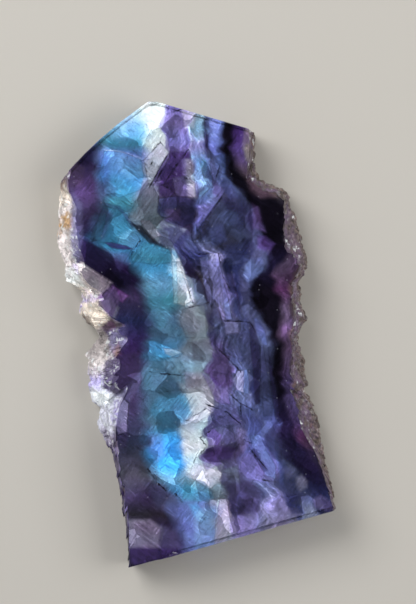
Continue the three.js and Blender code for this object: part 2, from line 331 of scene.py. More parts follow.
def ballCrossings(middle, heading, size):  # where rays pass nearest a ball's middle, and half the chord there
    toward = (middle * heading).sum(-1)
    missed = (middle**2).sum(-1) - toward**2
    return toward, np.sqrt(np.maximum(size**2 - missed, 0))


def growCrust(radius, angles, origin, direction):  # moves the wall out to cubes and nodules, and in to pits
    for at, size, turn in crustCubes():
        picked = near(angles, at, crust["cubeReach"] * size)
        enter, leave = boxCrossings((origin[:, picked] - at) @ turn, direction[:, picked] @ turn, size)
        hit = (enter < leave) & (enter < radius[:, picked] + crust["gap"])
        radius[:, picked] = np.maximum(radius[:, picked], np.where(hit, leave, 0))
    for kind in ("nodules", "pits"):
        for _, at, size in scattered(crust[kind], slab["rightEdge"][crust["grained"]]):
            picked = near(angles, at, crust["ballReach"] * size)
            toward, chord = ballCrossings(at - origin[:, picked], direction[:, picked], size)
            there = radius[:, picked]
            out, back = np.maximum(there, toward + chord), np.minimum(there, toward - chord)
            radius[:, picked] = np.where(chord > 0, out if kind == "nodules" else back, there)


def rimRadius():  # by row of heights and station: angle, z, distance from the axis, rough or sawn, hollow
    angles, (x, y, reach, grain) = rimStations()
    spread, axis = slab["spread"], slab["axis"]
    tangent = np.array([np.roll(column, -spread) - np.roll(column, spread) for column in (x, y)])
    normal = np.array([tangent[1], -tangent[0]]) / np.linalg.norm(tangent, axis=0)
    ray = np.array([np.cos(angles), np.sin(angles)])
    facing = np.maximum((normal * ray).sum(0), slab["facing"])

    upper, lower = slab["wallRows"]
    share = np.concatenate([np.linspace(1, slab["widest"], upper, endpoint=False),
                            np.linspace(slab["widest"], 0, lower)])
    z = (share * slab["thickness"])[:, None] + 0 * angles
    inward = np.interp(share, *zip(*slab["wall"]))[:, None] * reach
    out = wallRelief(x - normal[0] * inward, y - normal[1] * inward, z, grain)
    fromAxis = (x - axis[0]) * ray[0] + (y - axis[1]) * ray[1]
    radius = fromAxis - (inward - out) / facing
    smooth = fromAxis - inward / facing
    origin = np.stack([axis[0] + 0 * z, axis[1] + 0 * z, z], -1)
    direction = np.stack([ray[0] + 0 * z, ray[1] + 0 * z, 0 * z], -1)
    growCrust(radius, angles, origin, direction)

    half = slab["window"] // 2
    window = np.ones(slab["window"]) / slab["window"]
    around = np.concatenate([radius[:, -half:], radius, radius[:, :half]], axis=1)
    filled = np.array([np.convolve(row, window, "valid") for row in around])
    radius = np.maximum(radius, filled - slab["notch"])

    bevel = np.maximum(slab["chamfer"] - np.minimum(z, slab["thickness"] - z), 0)
    farOut, glancing = 1e3, 0.05
    cut = np.full(z.shape, farOut)
    for outward, distance in cutLines():
        toward = outward @ ray
        reached = (distance - bevel) / np.maximum(toward, glancing)
        cut = np.minimum(cut, np.where(toward > glancing, reached, farOut))
    return angles, z, np.minimum(radius, cut), radius < cut, smooth - radius


def chipCreases(ray, rim):  # how far out each line over the face meets each chip's edge, or 0 if it doesn't
    creases = []
    start, end = -0.1, 1.1  # of the edge, with a tenth over at each end
    axis = np.array(slab["axis"])
    for a, b, _ in slab["chips"]:
        heading = np.array(b) - a
        side = np.array([heading[1], -heading[0]])
        with np.errstate(divide="ignore"):
            meets = (np.array(a) - axis) @ side / (side @ ray)
        at = axis[:, None] + ray * meets
        ahead = ((at - np.array(a)[:, None]) * heading[:, None]).sum(0) / (heading @ heading)
        creases.append(np.where((meets > 0) & (meets < rim) & (ahead > start) & (ahead < end), meets, 0))
    return creases


def slabSurface(angles, z, radius, rough, hollow):  # rows of points: front face out, wall, back face in
    axis = slab["axis"]
    ray = np.array([np.cos(angles), np.sin(angles)])
    rim = radius[0]
    creases = chipCreases(ray, rim)
    first = np.where(creases[0] > 0, creases[0], slab["uncut"] * rim)
    second = np.where(creases[1] > first, creases[1], (first + rim) / 2)
    stretches = [0 * rim, first, second, rim]
    faceRadius = []
    for a, b, count in zip(stretches, stretches[1:], slab["faceRows"]):
        faceRadius.append(a + (b - a) * np.arange(1, count + 1)[:, None] / count)
    faceRadius = np.concatenate(faceRadius)[:-1]
    backRadius = radius[-1] * np.linspace(1, 0, slab["backRows"], endpoint=False)[1:, None]
    allRadius = np.concatenate([faceRadius, radius, backRadius])
    allZ = np.concatenate([np.full(faceRadius.shape, slab["thickness"]), z, 0 * backRadius])
    x, y = axis[0] + ray[0] * allRadius, axis[1] + ray[1] * allRadius
    allZ = np.minimum(allZ, slab["thickness"] - chipDepth(x, y))
    wall = slice(len(faceRadius), len(faceRadius) + len(radius))
    onRim = np.zeros(allRadius.shape, bool)
    onRim[wall] = rough
    depth = np.zeros(allRadius.shape)
    depth[wall] = np.where(rough, hollow, 0)
    return np.stack([x, y, allZ], -1), onRim, depth


def slabShift(points):  # from the outline's own place to the middle of the frame's box
    low, high = np.array(cadBox) * 1000
    flat = points.reshape(-1, 3)
    middle = (flat.min(0) + flat.max(0)) / 2
    return np.array([*((low + high) / 2 - middle)[:2], 0])


def buildSlab(points, onRim, hollow, materials):  # quads between the rows, and a fan that closes each face
    rows, stations = onRim.shape
    low, high = np.array(cadBox) * 1000
    flat = points.reshape(-1, 3)
    poles = np.array([[*slab["axis"], slab["thickness"]], [*slab["axis"], 0]])
    placed = np.clip(np.concatenate([flat, poles]) + shift, low, high)
    index = np.arange(rows * stations).reshape(rows, stations)
    onward = np.roll(index, -1, 1)
    quads = np.stack([index[:-1], index[1:], onward[1:], onward[:-1]], -1).reshape(-1, 4)
    top, bottom = len(flat), len(flat) + 1
    caps = [(top, a, b) for a, b in zip(index[0].tolist(), onward[0].tolist())]
    caps += [(bottom, b, a) for a, b in zip(index[-1].tolist(), onward[-1].tolist())]
    mesh = bpy.data.meshes.new("fluoriteSlab")
    mesh.from_pydata((placed / 1000).tolist(), [], quads.tolist() + caps)
    crusty = np.append(onRim.reshape(-1)[quads].mean(1) > slab["onRim"], np.zeros(len(caps), bool))
    mesh.polygons.foreach_set("material_index", crusty.astype(np.int32))
    mesh.polygons.foreach_set("use_smooth", ~crusty)
    mesh.set_sharp_from_angle(angle=math.radians(slab["sharpAngle"]))
    chipped = chipDepth(points[..., 0], points[..., 1]) > slab["chipMask"]
    chipped &= points[..., 2] > slab["faceAbove"]
    for name, values in {"hollow": hollow, "chipped": chipped}.items():
        attribute = mesh.attributes.new(name, "FLOAT", "POINT")
        attribute.data.foreach_set("value", np.append(values.reshape(-1), [0, 0]).astype(np.float32))
    for material in materials:
        mesh.materials.append(material)
    piece = bpy.data.objects.new("fluoriteSlab", mesh)
    bpy.context.scene.collection.objects.link(piece)
    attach(piece, "root")
    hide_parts("fluorite_slab")
    print("slab built:", len(mesh.polygons), "faces, shifted by", shift.round(2))


rim = rimRadius()
surface = slabSurface(*rim)
shift = slabShift(surface[0])
print("slab shaped")


palette = {  # the crystal's colours, as sRGB
    "frost": "eef5f6", "ice": "cfe4f0", "sky": "9cc8e8", "glacier": "7fbce0", "azure": "46a8f0",
    "cyan": "62c4ff", "cerulean": "4f9ac8", "steel": "3f7fa4", "teal": "4c90a6", "deepTeal": "36708c",
    "petrol": "34566e", "slateBlue": "4a6c86", "cobalt": "4a70c0", "haze": "8fa8bc", "lavender": "b4acdc",
    "mist": "d4d6e6", "periwinkle": "8292d6", "wisteria": "7a74b6", "heather": "9488c4",
    "amethyst": "6a50a0", "mauve": "8a6ca4", "grape": "4e367a", "violet": "3a2a5c", "indigo": "2c3058",
    "dusk": "464a72", "iris": "5c66a4", "denim": "6a7cb4", "ink": "1e1834", "night": "0d0a14",
    "orchid": "b078c8", "aubergine": "46284a", "rose": "86687a", "magenta": "8a4aa0", "umber": "5a4c48",
    "taupe": "7a6a62", "coal": "2a2630", "smoke": "626c78", "pewter": "8a9096", "silver": "bcc0ca",
    "lead": "50505e", "pearl": "a8a0ba", "fog": "74808f", "mulberry": "5c4a7c",
    "pansy": "43385c", "slate": "5a6088", "thistle": "68648f", "twilight": "3c405e", "dove": "7e7ca8",
    "plum": "5c4a66", "cream": "eaded0", "shell": "dcd4d4", "tan": "b08a5a", "rust": "8a5a34",
    "ash": "989090",
}

bands = {  # left to right: where each starts, as x and y, how softly, and its colours down the slab, by y
    "violetRind": {
        "colours": [
            (56.7, "indigo"), (47.3, "ink"), (37.8, "mulberry"), (32.7, "pansy"), (26.2, "indigo"),
            (19.7, "ink"), (13.8, "ink"), (9.5, "pansy"), (4.1, "indigo"), (-2.7, "violet"),
            (-10.8, "mulberry"), (-17.5, "pansy"), (-28.3, "twilight"), (-37.8, "lead"),
            (-43.7, "pansy"), (-48.6, "coal"), (-58, "violet"),
        ],
    },
    "blue": {
        "soft": 2.6,
        "starts": [
            (-26.7, 58.1), (-25.7, 52.7), (-25.7, 45.9), (-25.9, 39.2), (-24.8, 34.6), (-26.5, 30.8),
            (-28.4, 26.5), (-26.5, 24.3), (-23, 21.9), (-19.7, 19.7), (-15.7, 17.6), (-14, 14.9),
            (-13.2, 9.5), (-11.9, 5.4), (-12.2, 0.8), (-13.2, -2.7), (-14.3, -7.3), (-15.1, -11.6),
            (-14.6, -17.5), (-13.2, -24.3), (-12.7, -32.4), (-11.6, -36.4), (-10, -39.4), (-7.8, -42.1),
            (-4.9, -44.5), (-5.9, -47.8), (-4.3, -52.1), (-3, -58),
        ],
        "colours": [
            (61.3, "ice"), (57.5, "sky"), (54.8, "glacier"), (52.1, "teal"), (49.4, "periwinkle"),
            (40.5, "cerulean"), (35.7, "teal"), (32.2, "deepTeal"), (27.8, "steel"), (23.8, "cerulean"),
            (20.8, "steel"), (18.1, "cerulean"), (13.5, "glacier"), (9.5, "teal"), (5.2, "slateBlue"),
            (-0.2, "slateBlue"), (-4.6, "steel"), (-9.4, "slateBlue"), (-17, "slateBlue"),
            (-21.8, "slateBlue"), (-24, "slateBlue"), (-27.2, "cerulean"), (-31, "azure"),
            (-35.9, "azure"), (-39.1, "glacier"), (-42.4, "cerulean"), (-46.1, "denim"),
            (-50.5, "denim"), (-58, "periwinkle"),
        ],
    },
    "clear": {
        "soft": 2.2,
        "starts": [
            (-14.9, 62.4), (-14.6, 59.7), (-13.2, 56.5), (-14, 52.7), (-13.5, 49.4), (-14.3, 45.9),
            (-14.3, 40.5), (-16.2, 36.5), (-17.8, 32.4), (-16.7, 28.9), (-12.2, 24.9), (-6.5, 22.4),
            (-6.2, 18.7), (-4.9, 14.9), (-3.5, 10.8), (-4.1, 7.3), (-3.2, 2.7), (-2.2, -0.8), (-5.1, -4),
            (-4.6, -8.3), (-3.8, -12.7), (-2.2, -16.4), (-0.8, -19.1), (-2.4, -22.9), (-4.3, -25.6),
            (-4.1, -31), (-3, -35.9), (-3, -40.2), (3.5, -44.5), (5.9, -47.8), (5.7, -51.5), (5.1, -58),
        ],
        "colours": [
            (62.4, "frost"), (56.5, "frost"), (52.1, "frost"), (48.4, "silver"), (40.5, "pearl"),
            (35.1, "smoke"), (26.8, "smoke"), (21.4, "haze"), (18.1, "ice"), (10.6, "ice"),
            (7.9, "pewter"), (4.1, "pewter"), (-2.7, "smoke"), (-8.3, "haze"), (-12.1, "pewter"),
            (-17, "silver"), (-21, "silver"), (-25.1, "ice"), (-30.5, "frost"), (-34.3, "ice"),
            (-38, "frost"), (-41, "haze"), (-44, "fog"), (-47.2, "pearl"), (-58, "silver"),
        ],
    },
    "purple": {
        "soft": 0.4,
        "starts": [
            (-7.8, 62.4), (-8.6, 59.7), (-9.2, 56.5), (-8.6, 52.1), (-7.6, 49.4), (-8.9, 46.5),
            (-10.5, 43.2), (-11.6, 39.7), (-10, 35.9), (-9.5, 29.7), (-6.2, 23.8), (-4.1, 20.3),
            (-2.4, 16.5), (-0.3, 12.2), (1.4, 8.7), (2.7, 4.6), (3.2, 0), (4.6, -4), (3.2, -7.3),
            (2.2, -9.7), (4.9, -12.7), (5.4, -16.4), (4.1, -20.2), (3, -23.5), (1.9, -26.4), (3, -29.1),
            (1.6, -31.6), (0.8, -33.2), (5.4, -35.6), (7, -38), (7.3, -42.4), (8.9, -45.3), (9.7, -49.9),
            (10.3, -58),
        ],
        "colours": [
            (61.9, "wisteria"), (57.5, "heather"), (52.7, "wisteria"), (49.2, "mulberry"),
            (45.7, "pansy"), (40.3, "mulberry"), (35.1, "coal"), (30.5, "pansy"), (25.7, "dusk"),
            (21.4, "indigo"), (16, "coal"), (9.5, "coal"), (1.4, "twilight"), (-6.7, "pansy"),
            (-13.5, "mulberry"), (-17.5, "slate"), (-22.9, "dusk"), (-28.3, "thistle"), (-32.4, "pansy"),
            (-36.4, "thistle"), (-41.8, "dusk"), (-47.2, "dusk"), (-54, "thistle"),
        ],
    },
    "lavender": {
        "soft": 0.7,
        "starts": [
            (-1.4, 61.9), (-1.6, 56.7), (-1.4, 50), (-0.8, 44.6), (0.3, 40.5), (0, 35.1), (-0.8, 29.7),
            (-0.5, 25.7), (2.7, 22.4), (3.5, 17.6), (4.6, 10.8), (6.2, 4.6), (7.8, -1.3), (8.9, -6.2),
            (10, -10), (10, -14.3), (11.6, -18.1), (13, -22.9), (13.5, -28.3), (12.2, -32.4),
            (11.6, -36.4), (14.9, -40.5), (19.2, -43.2), (18.1, -47.2), (17, -55.3),
        ],
        "colours": [
            (60.8, "ice"), (56.5, "sky"), (51.1, "lavender"), (46.7, "glacier"), (43, "sky"),
            (38.6, "sky"), (34.9, "wisteria"), (30.5, "iris"), (25.7, "slate"), (21.9, "dove"),
            (13.3, "dove"), (8.9, "thistle"), (1.4, "twilight"), (-2.7, "twilight"), (-6.7, "dusk"),
            (-12.1, "slate"), (-17.5, "slate"), (-24.3, "iris"), (-29.9, "iris"), (-35.1, "wisteria"),
            (-40.7, "slate"), (-46.1, "dove"), (-53.2, "pearl"),
        ],
    },
    "navy": {
        "soft": 0.5,
        "starts": [
            (2.2, 60.8), (2.2, 56.7), (2.4, 50), (3, 44.6), (3.5, 40.5), (5.1, 36.5), (2.7, 32.7),
            (1.4, 28.9), (4.6, 25.7), (7, 21.9), (8.1, 17), (9.5, 12.2), (10.5, 8.1), (12.2, 2.7),
            (11.6, -2.7), (13.8, -8.1), (14.6, -12.1), (14.6, -16.2), (16.5, -21.6), (18.1, -26.2),
            (19.7, -29.7), (22.4, -34.3), (22.1, -39.1), (24.3, -44.5), (28.4, -51.3),
        ],
        "colours": [
            (59.7, "dusk"), (52.7, "indigo"), (47.3, "twilight"), (40.3, "dusk"), (34.9, "slate"),
            (26.8, "twilight"), (20.3, "indigo"), (9.5, "indigo"), (1.4, "dusk"), (-6.7, "twilight"),
            (-14.8, "indigo"), (-22.9, "slate"), (-29.9, "denim"), (-36.4, "iris"), (-43.4, "dusk"),
            (-49.9, "iris"),
        ],
    },
    "periwinkle": {
        "soft": 0.7,
        "starts": [
            (3.8, 60.2), (3.5, 55.4), (4.1, 50), (5.1, 45.9), (5.1, 41.9), (7.3, 37.8), (7.3, 32.4),
            (12.2, 27), (13.8, 22.4), (13, 18.7), (11.9, 14.9), (12.2, 9.5), (14, 4.6), (15.4, 0),
            (16.2, -4), (16.5, -9.4), (16.7, -16.2), (17.8, -21.6), (18.9, -26.2), (20.8, -29.9),
            (23.2, -34.3), (23.2, -39.1), (25.7, -44.5), (29.7, -51.3),
        ],
        "colours": [
            (59.2, "periwinkle"), (54.8, "denim"), (50, "iris"), (44.6, "denim"), (37.8, "slate"),
            (31.1, "dusk"), (24.3, "slate"), (19.7, "slate"), (13.3, "dusk"), (6.8, "twilight"),
            (1.4, "slate"), (-6.7, "twilight"), (-16.4, "twilight"), (-24.3, "iris"), (-28.9, "slate"),
            (-36.4, "twilight"), (-44.5, "dusk"), (-49.9, "fog"),
        ],
    },
    "black": {
        "soft": 1,
        "starts": [
            (7, 59.4), (7, 52.7), (6.5, 49.4), (7.8, 45.7), (8.6, 41.9), (12.2, 38.6), (14.9, 35.1),
            (16.5, 29.7), (18.1, 25.7), (18.6, 21.4), (18.1, 17.6), (15.7, 14.3), (14.9, 9.5), (17, 6.2),
            (19.7, 2.5), (20.2, -2.7), (20.8, -8.1), (21.1, -14.8), (21.6, -20.2), (22.4, -25.6),
            (23, -29.7), (24.3, -33.7), (28.4, -38.6), (31.1, -43.2), (33.2, -48.6),
        ],
        "colours": [
            (57.5, "night"), (37.8, "night"), (25.7, "night"), (18.9, "ink"), (12.2, "night"),
            (-2.7, "night"), (-14.8, "night"), (-22.9, "ink"), (-29.7, "ink"), (-36.4, "ink"),
            (-44.5, "indigo"),
        ],
    },
    "plum": {
        "soft": 1.4,
        "starts": [
            (10.5, 58.1), (10.5, 52.7), (10, 48.6), (11.6, 45.1), (14.3, 41.9), (20.2, 38.4), (24, 35.7),
            (23.8, 31.1), (23.5, 26.5), (25.7, 23), (22.4, 19.7), (20.8, 16.2), (22.4, 12.2), (24, 8.1),
            (24, 4.6), (22.7, 0.8), (23.5, -2.7), (24, -8.1), (23.8, -13.5), (24.8, -18.9),
            (26.2, -24.3), (27.5, -28.3), (31.1, -32.4), (34.3, -37.8), (36.5, -43.2),
        ],
        "colours": [
            (55.9, "grape"), (51.3, "amethyst"), (45.7, "plum"), (40.3, "umber"), (36.5, "coal"),
            (25.7, "coal"), (19.7, "plum"), (12.2, "aubergine"), (6.8, "plum"), (0.6, "plum"),
            (-4, "plum"), (-12.1, "pansy"), (-22.9, "pansy"), (-29.9, "aubergine"), (-37.8, "coal"),
        ],
    },
    "skin": {
        "soft": 0.7,
        "starts": [
            (13.2, 56.7), (13, 50), (14.3, 45.9), (16.5, 42.4), (20.2, 40), (24.6, 37.6), (25.1, 33.8),
            (25.1, 27), (27.3, 23), (27.8, 18.9), (25.7, 14.3), (25.7, 9.5), (26.5, 4.1), (25.7, 0),
            (26.2, -4), (26.5, -9.4), (26.5, -14.3), (28.1, -17.5), (29.2, -22.9), (28.4, -28.3),
            (31.6, -33.7), (35.1, -39.1),
        ],
        "colours": [
            (54.8, "ash"), (45.7, "rose"), (39.2, "taupe"), (32.4, "umber"), (20.3, "umber"),
            (12.2, "umber"), (4.1, "umber"), (-1.3, "taupe"), (-12.1, "umber"), (-25.6, "aubergine"),
            (-33.7, "coal"),
        ],
    },
}

patches = {  # flat-sided patches, painted in this order: colour, softness, strength and corners
    "tealShade": ("steel", 0.5, 0.75, [
        (-23.8, 52.4), (-19.7, 53.5), (-14.3, 52.4), (-14.3, 48.1), (-23.5, 50.2),
    ]),
    "blueBrow": ("cerulean", 1.1, 0.55, [(-18.6, 57), (-14, 57.5), (-13, 53.8), (-18.1, 52.7)]),
    "upperBlue": ("cerulean", 0.2, 0.7, [
        (-24.6, 49.7), (-19.7, 49.4), (-14.6, 47.5), (-13.8, 43), (-14.6, 39.2), (-20.2, 37),
        (-24.6, 39.2), (-25.9, 44),
    ]),
    "upperViolet": ("cobalt", 1, 0.7, [
        (-25.7, 49.4), (-23.5, 49.4), (-23, 41.9), (-24.6, 39.2), (-26.2, 43.2),
    ]),
    "upperSpot": ("petrol", 0.5, 0.6, [(-21.9, 41.9), (-19.7, 41.9), (-18.9, 39.2), (-21.3, 39.4)]),
    "upperLight": ("glacier", 1, 0.6, [
        (-20.8, 49.2), (-14.9, 47.8), (-13.8, 43), (-17.6, 41.9), (-20.8, 44.6),
    ]),
    "upperBruise": ("dusk", 0.8, 0.75, [
        (-25.9, 41.3), (-23.5, 42.1), (-21.1, 39.7), (-21.3, 37.3), (-24.8, 37.3),
    ]),
    "windowShade": ("dusk", 0.2, 0.6, [(-12.2, 40.3), (-7, 49.2), (-5.7, 48.1), (-10, 40.8)]),
    # painted reflection: this pale patch is the face of a cleavage plane inside the stone, catching the light
    "window": ("mist", 0.15, 1, [(-13.8, 47.3), (-9.5, 52.1), (-7, 49.4), (-12.4, 40)]),
    "smokyUpper": ("fog", 0.3, 0.85, [
        (-12.7, 40.8), (-9.5, 41.3), (-10.3, 32.7), (-12.2, 26.2), (-18.1, 31.1), (-15.9, 36.5),
    ]),
    "smokyLower": ("fog", 0.35, 0.85, [
        (-16.2, 30.5), (-10.3, 32.7), (-2.2, 28.6), (-6.2, 23.8), (-10.8, 24.9),
    ]),
    "smokyCore": ("indigo", 0.6, 0.75, [(-10, 28.6), (-4.6, 29.5), (-1.6, 26.2), (-5.1, 23), (-9.5, 24.1)]),
    "smokyLight": ("pearl", 0.25, 0.65, [(-14.9, 30.8), (-12.2, 31.1), (-9.2, 26.8), (-11.6, 25.7)]),
    "blueLedgeTop": ("indigo", 0.3, 0.7, [(-24.6, 35.9), (-20.8, 34.9), (-21.1, 33.8), (-24.3, 34.9)]),
    "blueLedgeSide": ("indigo", 0.3, 0.7, [(-21.3, 34.6), (-20.5, 34.9), (-16.2, 29.5), (-17.3, 28.6)]),
    "lowerBlue": ("deepTeal", 0.2, 0.85, [
        (-24.6, 35.1), (-20.2, 33.5), (-16.5, 28.4), (-14.6, 25.1), (-17, 23), (-22.4, 24.1),
        (-27.5, 25.7), (-26.5, 30.5),
    ]),
    "lowerBlueEnd": ("glacier", 0.8, 0.6, [
        (-20.8, 26.5), (-16.5, 28.6), (-14.6, 25.4), (-16.7, 23), (-20.2, 24.1),
    ]),
    "lowerBlueShade": ("dusk", 1, 0.8, [
        (-24.6, 35.1), (-22.4, 32.4), (-24.6, 25.7), (-28.1, 25.7), (-27, 30.5),
    ]),
    "indigoEdge": ("petrol", 0.2, 0.75, [(-24.6, 35.4), (-23.5, 34.6), (-25.4, 25.7), (-28.9, 24.9)]),
    "blackFracture": ("night", 0.3, 0.95, [(-17.3, 30), (-14.6, 29.5), (-10, 24.9), (-12.2, 24.3)]),
    "blackFractureEnd": ("night", 0.3, 0.95, [
        (-12.2, 25.7), (-10, 24.9), (-6.2, 23), (-6.5, 21.9), (-10, 23),
    ]),
    "lensCrack": ("violet", 0.2, 1, [
        (-24.6, 25.1), (-21.9, 25), (-18.6, 24.1), (-16.5, 23), (-19.2, 23), (-22.4, 23.5),
    ]),
    "tealBlock": ("teal", 0.4, 0.8, [
        (-14.3, 25.1), (-7, 23), (-5.4, 19.7), (-10, 19.2), (-17, 19.7), (-17.6, 21.1),
    ]),
    "cobaltGlow": ("periwinkle", 1, 0.7, [
        (-24.8, 23), (-18.1, 21.9), (-18.1, 19.2), (-20.2, 18.1), (-23.5, 20.3),
    ]),
    "violetGlow": ("grape", 0.9, 0.6, [(-22.1, 20.8), (-18.1, 19.2), (-18.4, 17), (-21.9, 18.1)]),
    "nightCorner": ("ink", 0.3, 0.9, [
        (-28.9, 24.9), (-22.4, 21.9), (-20.5, 16.2), (-23, 13.5), (-31.9, 19.7),
    ]),
    "nightCornerEnd": ("night", 0.8, 0.85, [
        (-22.4, 18.7), (-20.8, 16.2), (-14.9, 11.6), (-20.8, 12.7), (-24.6, 16),
    ]),
    "magentaWedge": ("magenta", 0.25, 0.9, [(-23, 13.8), (-17.8, 10.6), (-19.7, 8.7), (-22.1, 10.3)]),
    "magentaTip": ("orchid", 0.4, 0.7, [(-20.2, 11.6), (-17.8, 10.3), (-19.7, 8.9)]),
    "purpleLedge": ("thistle", 0.4, 0.75, [
        (-26.5, 9.5), (-22.7, 13.3), (-21.9, 10.3), (-19.7, 8.4), (-21.3, 4.1), (-24, 5.7),
    ]),
    "ledgeLight": ("silver", 0.6, 0.9, [(-26.5, 9.7), (-23, 10), (-20.8, 7.3), (-21.9, 4.6), (-25.7, 5.7)]),
    "darkPurpleBlock": ("grape", 0.4, 0.75, [
        (-11.6, 40.3), (-9.5, 45.9), (-6.2, 49.4), (-1.4, 49.4), (-0.5, 42.4), (-9.5, 40.3),
    ]),
    "darkStep": ("ink", 0.4, 0.75, [(-10, 40.8), (-5.9, 41.9), (-5.4, 37.6), (-10, 37)]),
    "lilacBrow": ("heather", 0.5, 0.7, [(-3.5, 47.3), (0.3, 47.8), (0.5, 41.9), (-3, 42.4)]),
    "mauveBlock": ("thistle", 0.3, 0.85, [(-6.2, 42.4), (-1.9, 43), (0.5, 41.3), (1.1, 37), (-5.1, 37.6)]),
    "mauveLight": ("mist", 0.8, 0.9, [(-2.4, 47.3), (-0.8, 47.3), (0.3, 41.9), (0.5, 37), (-1.6, 37)]),
    "navyBlock": ("indigo", 0.35, 0.85, [
        (-10, 37), (-5.1, 37.6), (1.1, 36.7), (0.5, 31.1), (-3.5, 28.9), (-7.8, 30.5), (-10.3, 33.2),
    ]),
    "violetPatch": ("mulberry", 0.8, 0.7, [(-7.8, 33.8), (-4.1, 34), (-4.1, 31.1), (-7.6, 30.8)]),
    "skyStrip": ("periwinkle", 0.4, 0.65, [
        (-0.3, 47.8), (1.4, 46.5), (2.4, 41.9), (1.4, 38.6), (0.3, 37.3), (-0.3, 43),
    ]),
    "arcShade": ("indigo", 0.3, 0.85, [(1.4, 47), (3.8, 46.5), (4.9, 42.4), (3.5, 39.7), (2.2, 43)]),
    "darkRibbon": ("ink", 0.5, 0.85, [
        (2.4, 59.2), (4.1, 58.6), (3.8, 53.8), (4.9, 49.4), (3, 48.9), (2.2, 53.8),
    ]),
    "skyRibbon": ("sky", 0.6, 0.6, [(0, 59.2), (2.2, 58.9), (2.2, 52.7), (0.3, 52.1), (-0.3, 55.4)]),
    "ribbonFoot": ("iris", 0.6, 0.65, [(-0.8, 51.6), (2.4, 51.9), (3, 47.8), (1.1, 46.2), (-0.8, 48.4)]),
    "lilacCrest": ("mist", 0.6, 0.85, [(-3.8, 61), (0.3, 60), (-0.3, 55.9), (-2.7, 55.9)]),
    "greyCorner": ("ash", 0.5, 0.8, [
        (13, 55.9), (14.9, 55.1), (15.9, 51.3), (15.1, 45.7), (13.5, 47.3), (12.7, 51.1),
    ]),
    "arcFacet": ("periwinkle", 0.25, 0.85, [(2.2, 48.1), (4.3, 47.8), (6.8, 45.7), (5.1, 41.3), (4.1, 44)]),
    "violetDiagonal": ("wisteria", 0.4, 0.7, [
        (4.9, 40.8), (8.4, 39.2), (3, 31.9), (0.8, 28.9), (-0.5, 30.5), (1.1, 36.5),
    ]),
    "arcTail": ("indigo", 0.5, 0.9, [
        (0.5, 38.6), (3, 41.1), (4.9, 40.8), (4.6, 37.6), (1.9, 34.9), (0.3, 35.1),
    ]),
    "darkDiagonal": ("coal", 0.35, 0.85, [(8.4, 39.2), (9.2, 36.5), (1.9, 26.2), (0, 25.7), (1.1, 28.9)]),
    "dome": ("twilight", 0.8, 0.75, [
        (7.8, 37.6), (12.7, 38.4), (15.4, 34.6), (15.7, 26.8), (13.2, 23), (7.3, 23), (3.5, 24.1),
        (2.7, 28.9), (4.9, 33.2),
    ]),
    "domeLight": ("denim", 0.7, 0.5, [
        (6.2, 32.2), (8.4, 33.5), (11.1, 33), (12.7, 30.3), (12.2, 26.8), (8.9, 29.5), (6.2, 28.9),
    ]),
    "domeBrow": ("ink", 0.6, 0.75, [(7.3, 37), (12.2, 37.8), (14.9, 35.1), (13.2, 32.7), (8.4, 33.8)]),
    "domeRim": ("ink", 0.5, 0.95, [
        (12.2, 36.7), (14.9, 35.1), (16.2, 30), (15.4, 26.5), (13.2, 26.2), (14, 31.1),
    ]),
    "domeRimFoot": ("ink", 0.5, 0.8, [(12.7, 26.2), (15.4, 26.2), (15.9, 22.4), (13, 21.9)]),
    "domeShade": ("coal", 0.8, 0.7, [(5.1, 27.8), (8.9, 28.4), (12.2, 25.1), (11.6, 23), (5.7, 23.5)]),
    "crumb": ("night", 0.3, 0.55, [(0.5, 28.6), (3.8, 30), (3.5, 26.8), (1.4, 25.4)]),
    "crumbLight": ("iris", 0.7, 0.6, [(3.5, 28.9), (7.3, 30), (8.4, 25.7), (4.6, 24.1)]),
    "lowCrumb": ("night", 0.3, 0.5, [(2.2, 24.6), (5.7, 25.1), (6.2, 22.4), (3, 22.2)]),
    "violetArc": ("mulberry", 0.5, 0.8, [(15.4, 35.7), (17.6, 34.3), (19.2, 27.8), (15.7, 28.9)]),
    "violetArcEnd": ("amethyst", 0.6, 0.8, [
        (17, 26.8), (19.2, 26.5), (21.6, 24.6), (19.7, 21.9), (16.7, 23),
    ]),
    "arcSlate": ("slate", 0.5, 0.75, [(15.4, 23.8), (20, 22.4), (18.1, 20), (14.9, 19.7)]),
    "blackShoulder": ("night", 0.5, 0.9, [(8.4, 47.3), (18.1, 36.5), (16.5, 34.9), (8.4, 43.2)]),
    "shoulderShade": ("indigo", 0.6, 0.8, [
        (6.2, 42.4), (8.9, 42.1), (12.2, 37.6), (9.5, 36.7), (7.3, 38.9),
    ]),
    "blackFlank": ("night", 0.5, 0.9, [(16.5, 37.6), (24, 34.9), (23.8, 24.1), (21.3, 25.7), (18.1, 30)]),
    "roseHighlight": ("rose", 1.2, 0.65, [
        (14.3, 41.3), (18.1, 40), (21.1, 37.6), (18.1, 37.3), (15.1, 38.9),
    ]),
    "barLeft": ("slate", 0.3, 0.8, [(1.1, 20.8), (3.5, 21.4), (7.3, 3.5), (5.1, 1.4), (3, 9.5)]),
    "barShadow": ("ink", 0.3, 0.8, [(6.8, 19.7), (9.2, 19.7), (13, 4.6), (11.3, 4.1), (9.2, 13.5)]),
    "lavenderBar": ("dove", 0.15, 0.9, [
        (3.5, 21.9), (6.2, 22.2), (8.1, 13.5), (10.3, 4.1), (7.3, 4.1), (3.8, 13.5),
    ]),
    "barEdge": ("denim", 0.4, 0.7, [(6.5, 16.2), (7.6, 14.9), (10.3, 4.1), (8.4, 4.1)]),
    "barFoot": ("dove", 0.4, 0.8, [(7.6, 3.8), (11.6, 3.5), (11.9, 0.6), (8.4, 0.3)]),
    "barEnd": ("lavender", 0.2, 0.9, [(3.8, 21.9), (6.2, 22.2), (7.3, 19.7), (4.3, 19.5)]),
    "barGlow": ("lavender", 0.8, 0.8, [(4.9, 12.7), (7, 12.4), (7.6, 9.5), (5.1, 10)]),
